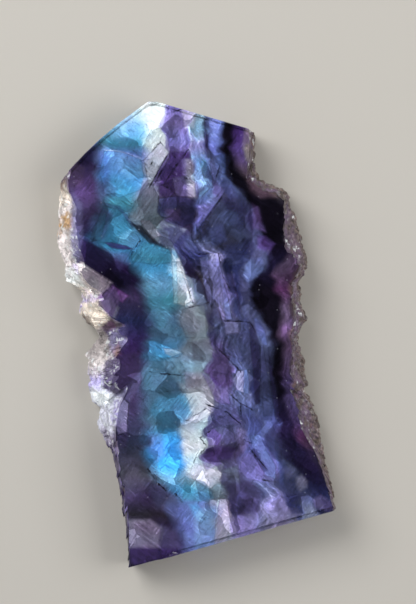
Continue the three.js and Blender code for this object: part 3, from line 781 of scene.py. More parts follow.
    "slateStep": ("dusk", 0.25, 0.8, [(7, 22.2), (14.9, 21.6), (14.6, 19.7), (8.9, 18.7)]),
    "stepEnd": ("indigo", 0.5, 0.75, [(12.2, 23.2), (15.9, 23), (14.9, 19.7), (12.7, 18.9)]),
    "iceBlob": ("periwinkle", 0.5, 0.85, [
        (14.9, 20.3), (18.1, 20.8), (18.4, 18.1), (16.7, 15.7), (14.3, 14.3), (13, 16), (13.8, 18.7),
    ]),
    "streakHigh": ("slate", 0.5, 0.8, [(12.4, 14.3), (14.9, 13.8), (14.6, 4.6), (12.4, 4.6)]),
    "streakBend": ("iris", 0.3, 0.8, [
        (14.9, 4.3), (16.7, 4.6), (18.9, 1.4), (19.4, -2.7), (17.6, -2.7), (16.7, 0.8),
    ]),
    "streakLow": ("dusk", 0.3, 0.85, [
        (17.6, -2.7), (19.4, -2.7), (20.5, -17.5), (21.1, -21.8), (18.6, -21.8), (17.8, -12.1),
    ]),
    "darkFurrow": ("ink", 0.3, 0.9, [
        (14.3, 4.1), (15.9, 2.7), (17.6, -2.7), (17.6, -18.6), (15.7, -18.6), (14.9, -2.7),
    ]),
    "darkFurrowEnd": ("ink", 0.4, 0.9, [
        (19.7, -0.8), (21.3, -2.9), (22.4, -17.5), (24, -25.6), (21.6, -22.4), (20.5, -14.8),
    ]),
    "roseGlow": ("mauve", 0.9, 0.75, [(23.2, 1.9), (25.7, 4.1), (25.9, -0.2), (24, -1.3)]),
    "sliverShade": ("ink", 0.3, 0.85, [(-5.1, 22.4), (-2.4, 21.4), (4.1, 10), (3.5, 7.9), (-0.3, 7.9)]),
    "whiteSliver": ("ice", 0.4, 0.85, [(-6.5, 22.4), (-5.1, 20.8), (-0.5, 8.7), (-5.7, 8.4), (-6.2, 16)]),
    "lilacTooth": ("pearl", 0.3, 0.7, [(-1.9, 13.3), (-0.8, 12.7), (0, 8.7), (-1.1, 8.9)]),
    "greyWindow": ("smoke", 0.4, 0.85, [
        (-3, 7.3), (1.4, 8.4), (3, 4.6), (3, -0.8), (-2.4, -0.8), (-4.1, 4.1),
    ]),
    "windowEdge": ("ink", 0.5, 0.75, [(3, 8.4), (4.6, 8.4), (5.9, -2.4), (3.8, -2.4), (3, 3)]),
    "tealPatch": ("teal", 0.8, 0.5, [(-12.2, 9.5), (-7.8, 9.5), (-6.2, 5.2), (-9.5, 1.4), (-12.2, 4.6)]),
    "cyanFacet": ("cyan", 0.25, 0.95, [
        (-12.2, -1.6), (-10.3, -1.6), (-6.2, -3.5), (-3, -4.8), (-4.3, -5.9), (-9.5, -6.2),
        (-12.4, -4.6),
    ]),
    "cyanTip": ("ice", 0.4, 0.8, [(-8.4, -3.5), (-5.7, -3.8), (-3, -4.8), (-6.2, -5.9), (-7.8, -5.1)]),
    "icyRubble": ("haze", 0.6, 0.75, [
        (-4.1, -5.1), (0.3, -6.7), (2.4, -8.9), (-1.4, -10.5), (-4.6, -10.5), (-6.2, -7.3),
    ]),
    "greyLens": ("lead", 0.5, 0.8, [(-0.8, -1.9), (3.5, -0.8), (5.7, -4.6), (3.5, -7.3), (-0.8, -6.7)]),
    "slateBlock": ("slateBlue", 0.4, 0.8, [
        (-13.2, -7), (-6.2, -7.3), (-3.5, -11), (-3.8, -14.8), (-9.5, -15.6), (-14.6, -14.8),
        (-14.6, -10.5),
    ]),
    "icyWedge": ("sky", 0.9, 0.7, [
        (-8.4, -7.3), (-4.1, -5.1), (-0.3, -7.3), (-0.5, -13.2), (-3.5, -13.7), (-5.7, -11.6),
    ]),
    "icyTail": ("silver", 0.9, 0.6, [
        (-4.1, -13.2), (-1.4, -13.2), (0.5, -16.4), (-1.4, -20.2), (-3, -17.5),
    ]),
    "warmGreyBlock": ("pearl", 0.7, 0.7, [
        (-3, -10), (1.6, -10), (4.1, -13.2), (2.7, -15.4), (-2.4, -14.6),
    ]),
    "tealSheet": ("cerulean", 1, 0.7, [
        (-10, -17), (-3, -15.9), (0.3, -19.1), (-3, -24), (-8.9, -24), (-12.2, -20.8),
    ]),
    "whiteBlock": ("silver", 0.7, 0.8, [
        (-2.4, -14.6), (2.4, -14.3), (5.1, -16.4), (4.9, -20.8), (1.4, -22.9), (-1.4, -20.2),
    ]),
    "violetSlabs": ("amethyst", 0.4, 0.7, [
        (1.6, -10), (5.1, -11.6), (8.9, -15.4), (9.7, -18.6), (5.7, -18.1), (3.5, -13.7),
    ]),
    "pinkSlab": ("heather", 0.5, 0.8, [(5.7, -13.7), (8.9, -14.8), (9.2, -18.3), (6.8, -18.1)]),
    "darkCorner": ("pansy", 0.5, 0.7, [(5.1, -4.6), (8.9, -6.2), (10, -11.6), (5.7, -10.5), (3.5, -8.3)]),
    "periwinkleOval": ("denim", 0.25, 0.9, [
        (10, -12.1), (11.3, -9.7), (13.8, -9.4), (14.6, -12.7), (14.3, -15.9), (11.6, -15.4),
    ]),
    "ovalLight": ("lavender", 0.3, 0.85, [
        (10, -12.1), (11.3, -9.7), (13, -9.7), (13, -15.6), (11.3, -14.8),
    ]),
    "whiteStripe": ("mist", 0.3, 0.8, [(-1.9, -22.9), (3, -19.7), (4.6, -20.8), (0.3, -24)]),
    "darkStripe": ("violet", 0.3, 0.6, [(2.4, -23.7), (10, -21.3), (11.1, -22.9), (3.5, -25.6)]),
    "violetRubble": ("wisteria", 0.5, 0.65, [(5.1, -20.5), (11.1, -19.4), (12.2, -23.7), (6.5, -24.8)]),
    "amethystLeft": ("amethyst", 0.3, 0.8, [
        (3, -26.2), (5.1, -25.1), (7.3, -27.2), (6.2, -29.9), (3.5, -29.9),
    ]),
    "amethystRight": ("wisteria", 0.3, 0.8, [
        (8.1, -25.1), (10.3, -26.2), (10.8, -28.9), (8.4, -29.9), (7, -27.8),
    ]),
    "amethystFoot": ("violet", 0.6, 0.85, [
        (2.2, -30.5), (7.3, -29.9), (11.1, -30.5), (9.5, -33.7), (4.1, -33.7),
    ]),
    "frost": ("heather", 0.6, 0.7, [(11.3, -25.1), (14, -25.6), (14.9, -29.4), (13, -31.6), (11.6, -29.9)]),
    "icePatch": ("denim", 0.35, 0.75, [
        (18.1, -22.9), (20.5, -22.7), (21.3, -25.6), (19.7, -27), (17.8, -25.9),
    ]),
    "blueLobe": ("denim", 0.3, 0.9, [
        (14.9, -27.2), (17.6, -26.7), (19.2, -30.8), (18.1, -31.6), (15.4, -30.5),
    ]),
    "blueLobeFoot": ("denim", 0.3, 0.9, [
        (16.5, -31), (19.2, -31), (21.9, -35.1), (21.6, -38.9), (19.2, -38),
    ]),
    "nightSlope": ("ink", 0.7, 0.85, [
        (18.6, -27.2), (21.9, -22.9), (24.6, -28.3), (23.5, -35.3), (20.8, -32.9), (18.9, -30.2),
    ]),
    "lilacLobe": ("wisteria", 0.3, 0.85, [
        (12.4, -34.3), (14.3, -31.6), (16.5, -33.2), (18.6, -37.5), (18.1, -39.7), (14.3, -39.1),
        (12.2, -37),
    ]),
    "lobeGap": ("indigo", 0.25, 0.8, [(14.9, -31), (15.7, -30.8), (19.7, -36.4), (18.6, -37.2)]),
    "azureGlow": ("azure", 1.5, 0.9, [
        (-7.3, -26.2), (-3.5, -26.2), (-2.4, -31), (-3, -35.9), (-5.7, -37.5), (-7.8, -34.3),
    ]),
    "azureShade": ("denim", 1, 0.65, [
        (-12.7, -27.2), (-9.2, -26.2), (-8.1, -32.6), (-10.5, -34.3), (-12.4, -31.6),
    ]),
    "iceShelf": ("frost", 1, 0.8, [
        (-3, -25.1), (1.4, -25.6), (1.4, -31.6), (-0.8, -35.3), (-3, -34.3), (-3.5, -29.7),
    ]),
    "shard": ("mist", 0.4, 0.9, [
        (0.3, -34.5), (2.4, -35.3), (7.3, -37), (7, -39.4), (4.1, -41.6), (-0.8, -38.9), (-1.4, -36.4),
    ]),
    "violetNotch": ("amethyst", 0.4, 0.75, [(1.1, -32.6), (4.6, -31.3), (7.3, -34.8), (3, -36.7)]),
    "tealRubble": ("teal", 0.5, 0.8, [
        (-3, -38), (-0.3, -39.1), (4.1, -41.6), (5.1, -44), (0.8, -45.1), (-3.5, -44.3),
    ]),
    "slateSkirt": ("slate", 1.2, 0.7, [
        (-13.2, -40.2), (-9.5, -40.2), (-4.1, -44.5), (-4.1, -48.3), (-10, -46.7),
    ]),
    "cyanStreak": ("cyan", 0.8, 0.7, [(-1.4, -45.9), (0.5, -45.6), (3, -49.4), (1.9, -51), (-0.3, -48.6)]),
    "paleFoot": ("sky", 1.4, 0.7, [(0.3, -47.8), (5.1, -46.7), (5.7, -57.5), (0.3, -58)]),
    "violetTide": ("iris", 1.6, 0.7, [(-7.3, -45.9), (-2.4, -45.9), (-1.4, -52.6), (-5.1, -53.7)]),
    "shadowBlade": ("petrol", 0.3, 0.8, [
        (0, -39.1), (2.4, -39.7), (5.1, -42.4), (3.8, -45.3), (1.4, -44.3),
    ]),
    "clearStrip": ("pearl", 0.15, 0.9, [
        (6.8, -44), (9.2, -44.5), (8.9, -55.9), (5.1, -56.7), (5.7, -49.9),
    ]),
    "slateColumn": ("smoke", 0.4, 0.8, [(7.3, -36.4), (11.6, -35.3), (12.2, -41.8), (10, -44.5), (7, -44)]),
    "violetFan": ("pansy", 1, 0.8, [
        (8.4, -40.2), (14.9, -39.1), (18.1, -42.4), (18.1, -47.8), (13.8, -49.9), (8.9, -47.2),
    ]),
    "lilacFan": ("dove", 0.8, 0.6, [(11.1, -49.4), (18.1, -48.3), (17, -53.2), (11.6, -54.8)]),
    "lilacHem": ("heather", 1, 0.7, [(9.5, -49.4), (18.1, -47.8), (18.6, -53.2), (9.2, -56.4)]),
    "lilacFoot": ("dove", 0.8, 0.8, [
        (18.1, -44.5), (21.6, -44.5), (28.4, -48.6), (18.1, -52.9), (16.2, -52.1),
    ]),
    "blotchHigh": ("dove", 0.9, 0.7, [
        (23.8, -36.4), (25.4, -35.3), (27.3, -36.4), (27, -38), (24.8, -38.6),
    ]),
    "blotchMiddle": ("pearl", 0.7, 0.8, [
        (27.3, -38.6), (28.6, -37.8), (30, -39.4), (30, -41), (28.4, -42.1), (27.5, -40.7),
    ]),
    "blotchLow": ("heather", 0.8, 0.75, [
        (31.9, -44.5), (34, -43.4), (36.7, -45.1), (37.8, -47), (35.4, -47.5), (32.7, -46.4),
    ]),
    "wisp": ("slate", 0.7, 0.6, [(28.4, -44.5), (29.7, -42.9), (30.8, -44), (30, -47.8), (28.1, -48.6)]),
    "navyWedge": ("indigo", 0.5, 0.8, [(23.5, -43.4), (27.3, -42.9), (29.4, -48.3), (26.2, -48.3)]),
    "nightWedge": ("ink", 0.6, 0.8, [
        (25.1, -28.3), (32.7, -31.6), (35.9, -41.8), (31.1, -39.7), (26.2, -35.3), (23, -31.6),
    ]),
    "darkNeck": ("night", 1.1, 0.75, [
        (7.6, 47.3), (10, 45.9), (18.1, 35.7), (15.9, 35.4), (11.1, 38.6), (8.4, 42.4),
    ]),
    "heartShade": ("ink", 1.2, 0.55, [(10, 35.4), (13.8, 34.9), (15.9, 30.5), (14.9, 27.3), (11.6, 29.5)]),
    "ledgeShade": ("indigo", 0.9, 0.6, [
        (8.4, 24.1), (14.9, 25.4), (17, 24.9), (15.4, 21.9), (13.8, 19.2), (12.2, 19.2), (9.2, 21.4),
    ]),
    "lavenderRun": ("wisteria", 0.5, 0.55, [
        (1.6, 19.7), (6.5, 20.8), (8.4, 14.1), (9.7, 8.7), (3.5, 8.7), (2.2, 14.9),
    ]),
    "runShade": ("indigo", 0.5, 0.75, [(7, 19.7), (8.9, 19.7), (12.2, 5.7), (10.5, 5.2)]),
    "bladeShade": ("twilight", 0.5, 0.75, [(-0.8, 16), (1.6, 13.8), (3.8, 6.2), (1.9, 6), (0.3, 8.7)]),
    "ivoryBlade": ("shell", 0.3, 0.85, [
        (-5.1, 20.5), (-4.3, 20.8), (-2.4, 15.4), (-0.5, 9.5), (-3, 7.9), (-4.6, 8.4),
    ]),
    "lavenderScar": ("pearl", 0.7, 0.95, [
        (-20.8, -50.2), (-12.2, -49.9), (-9.2, -52.1), (-9.7, -57.5), (-20.8, -57.5),
    ]),
    "scarShade": ("thistle", 0.9, 0.7, [(-9.5, -51.5), (-5.1, -52.6), (-3.8, -57.5), (-9.5, -57.5)]),
}

rimPatches = {  # the same, where the crust runs into the face
    "ashenTip": ("plum", 0.8, 0.7, [(-35.9, 43), (-32.7, 46.5), (-30, 45.1), (-30.5, 40.8), (-33.8, 39.2)]),
    "frostedSlope": ("shell", 0.4, 0.95, [
        (-32.1, 20.3), (-30, 19.2), (-22.4, 14.1), (-23.5, 12.2), (-26.7, 9.7), (-31.1, 14.9),
    ]),
    "rindTip": ("violet", 0.3, 0.85, [(-31.3, 26.2), (-29.4, 24.9), (-29.4, 19.7), (-32.4, 19.5)]),
    "lilacSkirt": ("dove", 0.8, 0.8, [
        (-33.2, 38.6), (-30.5, 35.4), (-30.5, 26.8), (-31.3, 19.7), (-33.2, 20.8), (-33.8, 26.8),
    ]),
    "purpleStep": ("mauve", 0.5, 0.8, [
        (-27.3, 9.5), (-22.4, 13.8), (-20.2, 10), (-22.4, 4.6), (-24.6, 6.2),
    ]),
    "creamLump": ("cream", 0.8, 0.95, [(-31.1, 8.4), (-26.2, 9.5), (-23, 4.1), (-27.3, 1.4)]),
    "darkCrevice": ("aubergine", 0.5, 0.8, [(-25.7, 1.9), (-22.4, 4.6), (-21.1, 1.9), (-23.5, -0.2)]),
    "greySpeckle": ("thistle", 1, 0.8, [
        (-24, 0.8), (-18.6, 2.5), (-18.4, -2.9), (-20.8, -4.6), (-23, -2.7),
    ]),
    "rustSeam": ("rust", 0.8, 0.45, [(-22.4, -4.6), (-20.8, -1.9), (-20, -5.1), (-21.3, -7.8)]),
    "violetTriangle": ("pansy", 0.5, 0.9, [
        (-24.6, -7.3), (-20.8, -5.6), (-14.9, -4.6), (-14.9, -13.2), (-21.3, -16.4), (-24.8, -14.6),
    ]),
    "litTriangle": ("thistle", 0.5, 0.7, [(-20.8, -16.4), (-14.9, -10.2), (-14, -11.6), (-17.6, -18.1)]),
    "whiteBrow": ("frost", 0.8, 0.8, [(-28.9, -15.6), (-24.6, -15.4), (-21.3, -17.5), (-26.2, -19.7)]),
    "orchidFacet": ("lavender", 0.3, 0.7, [
        (-22.1, -17.8), (-19.7, -17), (-17.8, -18.3), (-18.4, -26.2), (-20.8, -27.2), (-21.9, -22.9),
    ]),
    "violetFoot": ("pansy", 0.6, 0.8, [(-22.4, -26.7), (-18.1, -26.2), (-18.6, -30.5), (-22.4, -30.5)]),
}

cracks = [  # thin lines: colour, width and points
    ("ice", 0.25, [(-24.3, 50), (-20.2, 49.6), (-17.6, 48.8), (-14.3, 47.5)]),
    ("night", 0.2, [(-14, 47), (-9.5, 52.1), (-7, 49.4), (-12.2, 40)]),
    ("night", 0.2, [(-13, 44), (-13.8, 47.3)]),
    ("ink", 0.3, [(-6.5, 48.6), (-11.1, 40.5)]),
    ("night", 0.22, [(-14.9, 25.4), (-17.8, 20.5)]),
    ("coal", 0.2, [(-7.6, 59.7), (-3, 61.3)]),
    ("coal", 0.2, [(-7.3, 50), (-5.1, 47.8)]),
    ("coal", 0.2, [(-4.1, 47.8), (-1.9, 50)]),
    ("ink", 0.22, [(-6.2, 43.5), (-1.1, 41.9)]),
    ("night", 0.22, [(6.8, 45.7), (4.6, 39.7)]),
    ("night", 0.22, [(8.1, 38.6), (4.6, 33.5), (0.5, 28.1)]),
    ("night", 0.25, [(4.1, -25.9), (1.4, -27.8), (3, -29.9), (1.4, -32.1)]),
    ("ink", 0.35, [(-12.7, -36.2), (-10.3, -39.9), (-7.8, -42.1)]),
    ("night", 0.35, [(-5.4, -42.9), (-3.5, -45.1)]),
    ("twilight", 0.2, [(0.3, -32.9), (-1.6, -37.5)]),
    ("frost", 0.22, [(7, -39.1), (5.9, -47.8), (5.4, -56.7)]),
    ("twilight", 0.25, [(-3.5, 6.8), (3.5, 8.7)]),
    ("lead", 0.2, [(-2.4, -23.2), (3, -20)]),
    ("coal", 0.3, [(-12.2, -10), (-3, -11)]),
    ("ink", 0.25, [(12.2, -18.6), (12.7, -22.9)]),
    ("ink", 0.25, [(3, -18.6), (8.9, -20.8), (12.2, -24)]),
    ("coal", 0.25, [(8.9, -15.4), (12.2, -18.6), (15.4, -20.2)]),
    ("night", 0.3, [(8.1, 3.8), (12.2, 3.7), (14.9, 3.3), (16.5, 0.6)]),
    ("night", 0.2, [(6.2, 21.9), (7.3, 16.5), (9.5, 12.2)]),
    ("ink", 0.2, [(-2.2, 49.7), (-6.2, 43.5), (-3, 41.9)]),
    ("ink", 0.2, [(-3.8, 47.8), (-8.6, 40.3)]),
    ("ink", 0.25, [(-10.3, 41.1), (-7.3, 39.7)]),
    ("ink", 0.3, [(-13.5, 46.5), (-12.4, 44.8), (-11.6, 46.7)]),
    ("ink", 0.25, [(0.8, 21.9), (3.5, 21.9)]),
    ("ink", 0.2, [(10, -11.6), (9.5, -14.3), (11.1, -16.4)]),
    ("ink", 0.25, [(5.1, -2.4), (8.9, -6.2), (12.2, -10)]),
    ("ink", 0.25, [(14.6, -30.5), (19.7, -36.7)]),
    ("ink", 0.25, [(18.1, -39.1), (21.9, -39.7)]),
    ("ink", 0.25, [(9.7, -31.6), (13.2, -28.3), (15.4, -29.4)]),
    ("night", 0.3, [(18.1, 37), (18.6, 32.2), (21.3, 26.8)]),
]


class Wire:  # a node's output; + - * / between wires add Math nodes, and add() adds any other node
    def __init__(self, socket):
        self.socket = socket

    def add(self, kind, settings, inputs, output=0):
        tree = self.socket.id_data
        node = tree.nodes.new("ShaderNode" + kind)
        for name, value in settings.items():
            if name == "stops":
                setStops(node.color_ramp, value)
            elif name == "points":
                setPoints(node.mapping, value)
            else:
                setattr(node, name, value)
        feed(node, inputs)
        return Wire(node.outputs[output])

    def beside(self, name):  # another output of the same node
        return Wire(self.socket.node.outputs[name])

    def math(self, operation, *operands, clamped=False):
        return self.add("Math", {"operation": operation, "use_clamp": clamped}, dict(enumerate(operands)))

    def __add__(self, other):
        return self.math("ADD", self, other)

    def __radd__(self, other):
        return self.math("ADD", other, self)

    def __sub__(self, other):
        return self.math("SUBTRACT", self, other)

    def __rsub__(self, other):
        return self.math("SUBTRACT", other, self)

    def __mul__(self, other):
        return self.math("MULTIPLY", self, other)

    def __rmul__(self, other):
        return self.math("MULTIPLY", other, self)

    def __truediv__(self, other):
        return self.math("DIVIDE", self, other)

    def least(self, other):
        return self.math("MINIMUM", self, other)

    def step(self, start, end, low=0.0, high=1.0):  # eased from low to high while this goes from start to end
        settings = {"interpolation_type": "SMOOTHSTEP"}
        return self.add("MapRange", settings, {0: self, 1: start, 2: end, 3: low, 4: high})

    def ease(self, start, end, low, high):  # step, for each of a vector's three numbers
        settings = {"data_type": "FLOAT_VECTOR", "interpolation_type": "SMOOTHSTEP"}
        return self.add("MapRange", settings, {6: self, 7: start, 8: end, 9: low, 10: high}, 1)

    def parts(self):
        return [self.add("SeparateXYZ", {}, {0: self}, n) for n in range(3)]

    def vector(self, operation, *operands, output=0):
        return self.add("VectorMath", {"operation": operation}, dict(enumerate(operands)), output)

    def dot(self, direction):
        return self.vector("DOT_PRODUCT", self, direction, output=1)

    @property
    def x(self):
        return self.dot((1, 0, 0))

    @property
    def y(self):
        return self.dot((0, 1, 0))

    @property
    def z(self):
        return self.dot((0, 0, 1))

    def fromMiddle(self):  # how far the mean of a colour's three shares is above a half
        return self.dot((0.33, 0.33, 0.33)) - 0.5

    def moved(self, by, far, up=0):  # this place plus a noise or a cell's colour times a distance
        return self.vector("MULTIPLY_ADD", by, (far, far, up), self)

    def noise(self, scale, detail=2.0, output=0, **settings):
        return self.add("TexNoise", settings, {"Vector": self, "Scale": scale, "Detail": detail}, output)

    def cells(self, scale, output, **settings):
        return self.add("TexVoronoi", settings, {"Vector": self, "Scale": scale}, output)

    def ramp(self, stops):
        return self.add("ValToRGB", {"stops": stops}, {"Fac": self})

    def mixed(self, other, share, blend="MIX"):  # this colour with a share of another
        return self.add("Mix", {"data_type": "RGBA", "blend_type": blend}, {0: share, 6: self, 7: other}, 2)

    def shaded(self, depth):  # this colour times 6 to the power of a depth, so 1 is six times as light
        return self.mixed(depth.math("POWER", 6.0, depth), 1.0, "MULTIPLY")


def feed(node, inputs):  # sets a node's sockets to values, or links wires to them
    for name, value in inputs.items():
        if isinstance(value, Wire):
            node.id_data.links.new(value.socket, node.inputs[name])
        else:
            node.inputs[name].default_value = value


def setStops(ramp, stops):  # a colour ramp's stops, from left to right
    for n, (position, colour) in enumerate(stops):
        stop = ramp.elements[n] if n < 2 else ramp.elements.new(position)
        stop.position = position
        stop.color = colour


def setPoints(mapping, points):  # a curve of straight lines from point to point
    curve = mapping.curves[0]
    for n, (x, y) in enumerate(points):
        point = curve.points[n] if n < 2 else curve.points.new(x, y)
        point.location = (x, y)
        point.handle_type = "VECTOR"
    mapping.update()


def grouped(name, make, **wires):  # what make does to colour and seam, in a node group: no tree grows long
    group = bpy.data.node_groups.new(name, "ShaderNodeTree")
    wires["place"] = wires["colour"].vector("MULTIPLY_ADD", wires["colour"], (1e-7,) * 3, wires["place"])
    # the place waits for the colour, by this hair's breadth, so that the groups are worked out in turn
    for label in wires:
        group.interface.new_socket(label, in_out="INPUT", socket_type="NodeSocketVector")
    start = group.nodes.new("NodeGroupInput")
    made = make(*[Wire(start.outputs[label]) for label in wires])
    end = group.nodes.new("NodeGroupOutput")
    for label, wire in zip(wires, made):
        group.interface.new_socket(label, in_out="OUTPUT", socket_type="NodeSocketVector")
        group.links.new(wire.socket, end.inputs[label])
    first = wires["colour"].add("Group", {"node_tree": group}, wires)
    return first, first.beside("seam")


def tint(name):  # a palette colour as light: each sRGB share, s, is ((s + 0.055) / 1.055) to the power 2.4
    shares = [int(palette[name][i:i + 2], 16) / 255 for i in (0, 2, 4)]
    return (*[((s + 0.055) / 1.055) ** 2.4 for s in shares], 1)


def tintStops(colours):  # colours by height on the slab, listed downwards, as a ramp's stops
    return [(heightShare(y), tint(name)) for y, name in reversed(colours)]


def newFinish(name):  # a material, its shader, and the place on the slab in millimetres, as a wire
    material = bpy.data.materials.new(name)
    material.use_nodes = True
    nodes = material.node_tree.nodes
    place = Wire(nodes.new("ShaderNodeTexCoord").outputs["Object"])
    place = place.vector("MULTIPLY_ADD", place, (1000, 1000, 1000), tuple(-shift))
    return material, nodes["Principled BSDF"], place


def patchSides(corners):  # each side's inward direction, and the distance inside it of the origin
    corners = np.array(corners, float)
    ahead = np.roll(corners, -1, 0) - corners
    ahead /= np.linalg.norm(ahead, axis=1)[:, None]
    onward = np.roll(ahead, -1, 0)
    turn = np.sign((ahead[:, 0] * onward[:, 1] - ahead[:, 1] * onward[:, 0]).sum())
    across = turn * np.column_stack([-ahead[:, 1], ahead[:, 0]])
    return np.column_stack([across, -(across * corners).sum(1)])


def insidePatches(x, y, three):  # how far inside three convex patches, as X, Y and Z: the least of the sides
    sides = [patchSides(corners) for *_, corners in three]
    noSide = (0, 0, 99)
    reach = None
    for n in range(max(len(own) for own in sides)):
        rows = [own[n] if n < len(own) else noSide for own in sides]
        toX, toY, offset = [tuple(float(v) for v in column) for column in zip(*rows)]
        side = x.vector("MULTIPLY_ADD", x, toX, y.vector("MULTIPLY_ADD", y, toY, offset))
        reach = side if reach is None else reach.vector("MINIMUM", reach, side)
    return reach


def fromLine(place, a, b):  # distance to the line from a to b: the place less a, less its share of the way
    a, way = np.array(a), np.array(b) - a
    toward = way / (way @ way)
    share = place.dot((*toward, -toward @ a))
    share = share.math("MULTIPLY", share, 1, clamped=True)
    off = place.vector("MULTIPLY_ADD", share, (*-way, 0), place)
    return off.vector("DISTANCE", off, (*a, 1), output=1)


face = {  # noise and cells have a scale per millimetre, and a strength of 1 is six times as light or dark
    "lowest": -63.5,  # of the slab, in y, and its height
    "height": 127.0,
    "halfWidth": 40.0,
    "lean": 0.06,  # how far the bands lean to the right for each millimetre down into the slab
    "sway": (0.22, 0.5),  # slow noise: its scale, and how far it moves them for each millimetre down
    "drift": (0.12, 1.5),  # slow and fine noise: scale, and how far each moves the bands
    "ripple": (0.9, 0.12),
    "cleavage": 35,  # direction of the blocks' sides, in degrees, and how far slow noise bends them
    "bend": 3,
    "blocks": (0.17, 0.5),  # scale of the cleavage blocks, and how far each moves the bands
    "zigzag": (3.2, 0.9, 9),  # of a zigzag's single stroke: height, reach across, and how far noise moves it
    "lastBand": 6.0,  # width that the last band is counted with
    "firstCount": 0.12,  # bands for each millimetre, left of the first start
    "layered": (3.9, 4.5, 0.1, 1.0),  # between these band counts, layers go from this strength to that one
    "plain": (6.6, 7.3, 1.0, 0.4),
    "layers": (2.4, 0.04, 1.8),  # for each band, for each millimetre down the slab, and strength
    "steps": (1.4, 1.5, 0.5, 0.25),  # for each band, how noise and blocks move them, and strength
    "featureBend": (0.5, 0.2),  # how far slow and fine noise move the patches
    "featureGroup": 12,
    "seams": 0.4,  # darkness of the seams round crisp patches, the most softness of those, and width
    "crisp": 0.4,
    "seamWidth": (0.05, 0.25),
    "lightCracks": ("ice", "silver", "mist", "frost"),
    "crackSoftness": 0.16,
    "crackWidth": 0.35,  # share of the listed width that a crack reaches to either side
    "crackStrength": (0.8, 0.85),  # of light and dark ones
    "crackWander": (1.6, 0.7),  # noise: scale, and how far it moves the cracks
    "whole": (0.35, 0.35, 0.55, 0.35, 1.0),  # noise: its scale, from and to which values, seams from and to
    "slopes": 0.05,  # strength of the painted shading within the blocks, each lighter to one side as if tilted to the light, and of the steps between them
    "blockSteps": 0.15,
    "unbanded": 1.3,  # less the banded share, how much of those steps shows
    "flakes": (0.42, 0.2),  # scale and strength
    "flakeTurn": 75,  # direction in degrees, and stretch
    "flakeStretch": (1, 1.7, 1),
    "flaky": (0.3, 0.45, 0.6),  # noise: its scale, and the values between which flakes come in
    "streaks": 0.3,
    "streakTurns": (35, -55),
    "streakStretch": ((0.25, 1.4, 1), (0.25, 1.6, 1)),
    "streakChoice": (0.12, 0.45, 0.55),
    "darkStreaks": (0.6, 0.7),  # values of the streaks' noise, and those off its middle that make thin hairs
    "lightStreaks": (0.38, 0.28),
    "hairWidth": (0.012, 0.002),
    "hairs": 0.55,
    "hairy": (0.3, 0.48, 0.6),  # the same, for the hairs
    "hues": (0.14, (0.35, (0.93, 1.02, 0.97, 1)), (0.5, (1, 1, 1, 1)), (0.65, (1.06, 0.95, 1.04, 1))),
    "grain": (1.4, 0.42),
    "clouds": (0.2, 0.6),
    "edges": (0.16, 0.34, 0.1),  # scales of the thin dark edges, how far fine noise bends them, and strength
    "edgeBend": 0.8,
    "edgeStrength": 0.6,
    "edgeWidth": (0.03, 0.0),
    "edged": (0.5, 0.6),  # values of the clouds' noise between which they come in
    "specks": (0.4, 0.6),  # scale and strength
    "speckSize": (0.07, 0.03),
    "lit": (0.84, 0.86),  # of the cells' shares, so few cells hold a speck
}

crystal = {
    "ior": 1.434,
    "transmission": 0.7,
    "polish": 0.08,  # roughness of the polished face, of the chips and of the sawn edges
    "chipped": 0.25,
    "sawn": 0.25,
    "chipEdge": (0.3, 0.9),  # shares of the chips' mask between which roughness and features come in
    "chipFeatures": (0.2, 0.5),
    "polished": (1.0, 0.6),  # depths below the face between which its features come in
    "through": (0.72, 0.8, 0.95, 1),  # tint of light that has gone through
    "density": 12.0,  # for each metre
}


def heightShare(y):  # height on the slab as a share from 0 at its foot to 1 at its point
    return (y - face["lowest"]) / face["height"]


def bandColour(x, y):  # the bands' colour, and how many bands lie to the left of a place, counted with shares
    down = heightShare(y)
    width = 2 * face["halfWidth"]
    colours = [down.ramp(tintStops(band["colours"])) for band in bands.values()]
    later = list(bands.values())[1:]
    starts = []
    for band in later:
        listed = reversed(band["starts"])
        points = [(heightShare(h), (start + face["halfWidth"]) / width) for start, h in listed]
        curve = down.add("FloatCurve", {"points": points}, {"Factor": 1.0, "Value": down})
        starts.append(curve * width - face["halfWidth"])
    past = [x - start for start in starts]
    colour = colours[0]
    for band, own, gone in zip(later, colours[1:], past):
        colour = colour.mixed(own, gone.step(-band["soft"], band["soft"]))
    count = past[0] * face["firstCount"]
    for n, gone in enumerate(past):
        wide = starts[n + 1] - starts[n] if n + 1 < len(starts) else face["lastBand"]
        count = count + gone.math("DIVIDE", gone, wide, clamped=True)
    return colour, count


def addPatches(chosen):  # the patches' colours, three at a time, and the seams round the crisp ones
    def make(colour, seam, place):
        x, y = place.x, place.y
        for n in range(0, len(chosen), 3):
            three = chosen[n:n + 3]
            three += [three[0]] * (3 - len(three))
            reach = insidePatches(x, y, three)
            soft = np.array([own[1] for own in three])
            strengths = tuple(own[2] for own in three)
            shares = reach.ease(tuple(-soft), tuple(soft), (0, 0, 0), strengths).parts()
            for (name, *_), share in list(zip(three, shares))[:len(chosen) - n]:
                colour = colour.mixed(tint(name), share)
            dark = tuple(face["seams"] * float(own[1] <= face["crisp"]) for own in three)
            start, end = [(width,) * 3 for width in face["seamWidth"]]
            ring = reach.vector("ABSOLUTE", reach).ease(start, end, dark, (0, 0, 0))
            seam = seam.vector("MAXIMUM", seam, ring)
        return colour, seam
    return make


def nearestLine(place, lines):  # distance to the nearest of some lines, less a share of each one's width
    nearest = None
    for _, width, points in lines:
        for a, b in zip(points, points[1:]):
            gap = fromLine(place, a, b) - width * face["crackWidth"]
            nearest = gap if nearest is None else nearest.least(gap)
    return nearest


